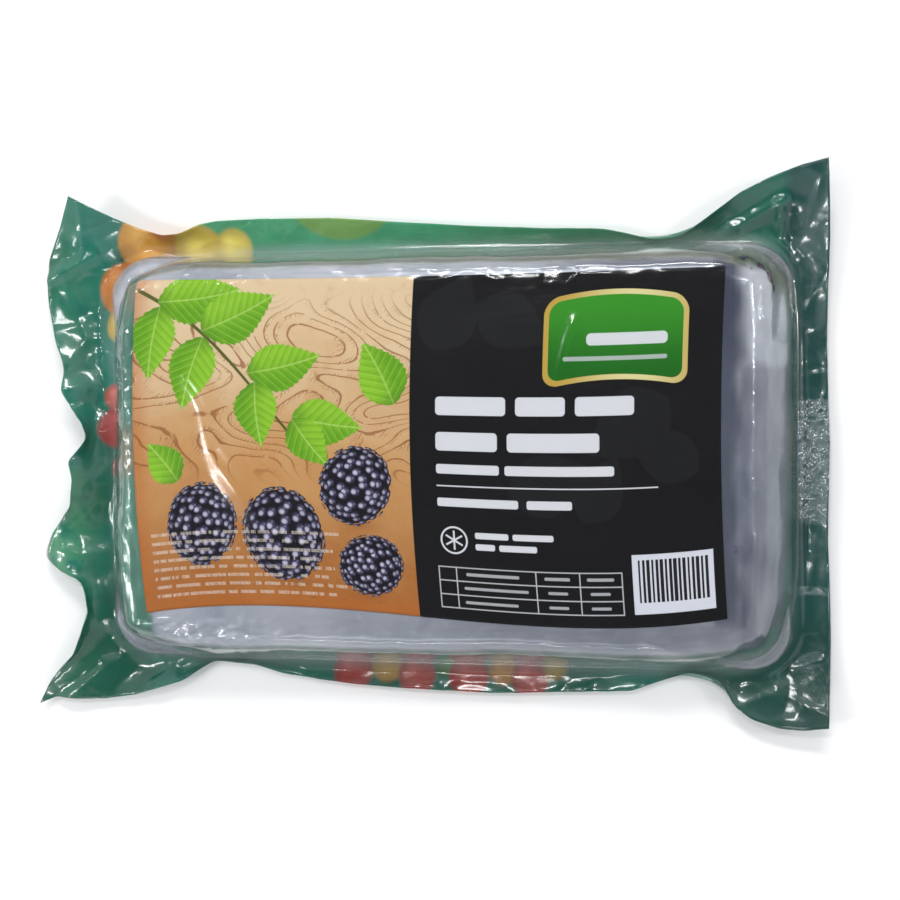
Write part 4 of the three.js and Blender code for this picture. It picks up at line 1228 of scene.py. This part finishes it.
# ----------------------------------------------------------------------------
# grey inner wrap: satin, nearly opaque over the fruit, hazy in its hem
# ----------------------------------------------------------------------------
def wrap_material():
    m = Mat("wrap_film")
    u, v = m.uv(300.0, 300.0)
    P = m.vec(u, v)
    press, hem = m.attr("press"), m.attr("hem")
    n1 = m.noise(P, 0.02, 3.0, 0.5, 0.5)
    n2 = m.noise(P, 0.25, 4.0, 0.6)
    n3 = m.noise(m.vec(u * 0.05, v * 0.6), 1.0, 3.0, 0.5)
    tone, left_ = m.attr("tone"), m.attr("left")
    col = m.mix(n1.step(0.3, 0.7), rgb(150, 155, 167), rgb(178, 181, 190))
    col = m.mix(n2.step(0.5, 0.8) * 0.25, col, rgb(212, 214, 220))
    # tone: painted shade on the wrap's right side, top right and bottom right, partly the dark fruit seen through the
    # film
    col = m.mix(tone * (n1 * 0.3 + 0.8), col, rgb(52, 58, 80))
    bleed = m.mix(n1.step(0.4, 0.6), rgb(34, 98, 78), rgb(66, 122, 100))
    bleed = m.mix((v - 124.0).step(2.0, 14.0) * 0.5 + (v - 79.0).abs().step(13.0, 5.0) * 0.5, bleed, rgb(138, 108, 84))
    col = m.mix(left_ * 0.92, col, bleed)
    col = m.mix(press.step(0.55, 1.0) * 0.5, col, rgb(96, 98, 122))
    col = m.mix(press.step(0.8, 1.0) * n2.step(0.48, 0.62) * 0.7, col, rgb(56, 50, 86))
    nrm = m.bump(n2 * 0.25 + n3 * 0.4 + n1, 0.25, 0.0005)
    body = m.principled(col, n2 * 0.12 + 0.32, nrm, Metallic=0.34, Specular_IOR_Level=0.4)
    clear = m.node("ShaderNodeBsdfTransparent")
    mx = m.node("ShaderNodeMixShader")
    m.put(mx.inputs[0], (0.97 - hem * 0.62).clamp())
    m.link(clear.outputs[0], mx.inputs[1])
    m.link(body, mx.inputs[2])
    return m.finish(mx.outputs[0])


# ----------------------------------------------------------------------------
# frozen berries
# ----------------------------------------------------------------------------
def berry_material():
    m = Mat("berry_skin")
    bead = m.attr("bead")
    P = m.place()
    n1 = m.noise(P, 60.0, 2.0)
    frost = m.noise(P, 900.0, 4.0, 0.65)
    # darker where the drupelets meet: painted shade between them
    col = m.mix(bead.step(0.0, 0.7), rgb(16, 8, 18), rgb(48, 24, 52))
    col = m.mix(n1.step(0.4, 0.7) * 0.5, col, rgb(78, 22, 44))
    col = m.mix(frost.step(0.56, 0.74) * bead.step(0.2, 0.9) * 0.45, col, rgb(168, 160, 186))
    nrm = m.bump(frost, 0.3, 0.0003)
    rough = frost * 0.3 + 0.22
    return m.finish(m.principled(col, rough, nrm, Coat_Weight=0.35, Coat_Roughness=0.18,
                                 Subsurface_Weight=0.0))


mats = {"label": label_material(), "web": web_material(), "clear": clear_material(), "wrap": wrap_material(),
        "berry": berry_material()}
label.data.materials.append(mats["label"])
back.data.materials.append(mats["web"])
front.data.materials.append(mats["clear"])
wrap.data.materials.append(mats["wrap"])
wrap_b.data.materials.append(mats["wrap"])
for ob in berry_objects:
    ob.data.materials.append(mats["berry"])

# ----------------------------------------------------------------------------
# floor and light
# ----------------------------------------------------------------------------
fm_ = bpy.data.meshes.new("floor")
fm_.from_pydata([(-4, -4, -5e-5), (4, -4, -5e-5), (4, 4, -5e-5), (-4, 4, -5e-5)], [], [(0, 1, 2, 3)])
floor = bpy.data.objects.new("floor", fm_)
scene.collection.objects.link(floor)
floor_mat = Mat("floor")
floor.data.materials.append(floor_mat.finish(floor_mat.principled((0.93, 0.93, 0.93, 1), 0.85, None, Specular_IOR_Level=0.1)))

world = bpy.data.worlds.new("studio")
world.use_nodes = True
scene.world = world
wt = world.node_tree
wt.nodes.clear()
wo = wt.nodes.new("ShaderNodeOutputWorld")
bg = wt.nodes.new("ShaderNodeBackground")
tc = wt.nodes.new("ShaderNodeTexCoord")
sp = wt.nodes.new("ShaderNodeSeparateXYZ")
ramp = wt.nodes.new("ShaderNodeValToRGB")
wt.links.new(tc.outputs["Generated"], sp.inputs[0])
wt.links.new(sp.outputs[2], ramp.inputs[0])
ramp.color_ramp.elements[0].position = 0.0
ramp.color_ramp.elements[0].color = (0.95, 0.97, 1.0, 1)
ramp.color_ramp.elements[1].position = 0.93
ramp.color_ramp.elements[1].color = (0.16, 0.16, 0.17, 1)
e = ramp.color_ramp.elements.new(0.72)
e.color = (0.85, 0.87, 0.9, 1)
wt.links.new(ramp.outputs[0], bg.inputs[0])
bg.inputs[1].default_value = 0.8
wt.links.new(bg.outputs[0], wo.inputs[0])


def area(name, pos, aim, size, power, color=(1, 1, 1)):
    d = bpy.data.lights.new(name, "AREA")
    d.shape = "RECTANGLE"
    d.size, d.size_y = size
    d.energy = power
    d.color = color
    o = bpy.data.objects.new(name, d)
    o.location = pos
    o.rotation_euler = (Vector(aim) - Vector(pos)).to_track_quat("-Z", "Y").to_euler()
    scene.collection.objects.link(o)
    return o


area("key_top", (0.10, 0.75, 0.75), (0, 0, 0), (0.46, 0.10), 4.6)
area("key_left", (-0.80, -0.09, 0.70), (0, 0, 0), (0.08, 0.12), 1.0)
area("window_left", (-0.64, 0.36, 1.00), (0, 0, 0), (0.07, 0.09), 0.5)
area("fill_right", (0.85, 0.185, 0.60), (0, 0, 0), (0.09, 0.13), 1.3)
area("low_front", (-0.15, -0.85, 0.55), (0, 0, 0), (0.42, 0.07), 1.4)
area("ceiling", (-0.05, 0.40, 0.95), (0, 0, 0), (0.26, 0.05), 1.4)
area("ceiling_left", (-0.84, -0.26, 0.95), (0, 0, 0), (0.08, 0.30), 2.2)
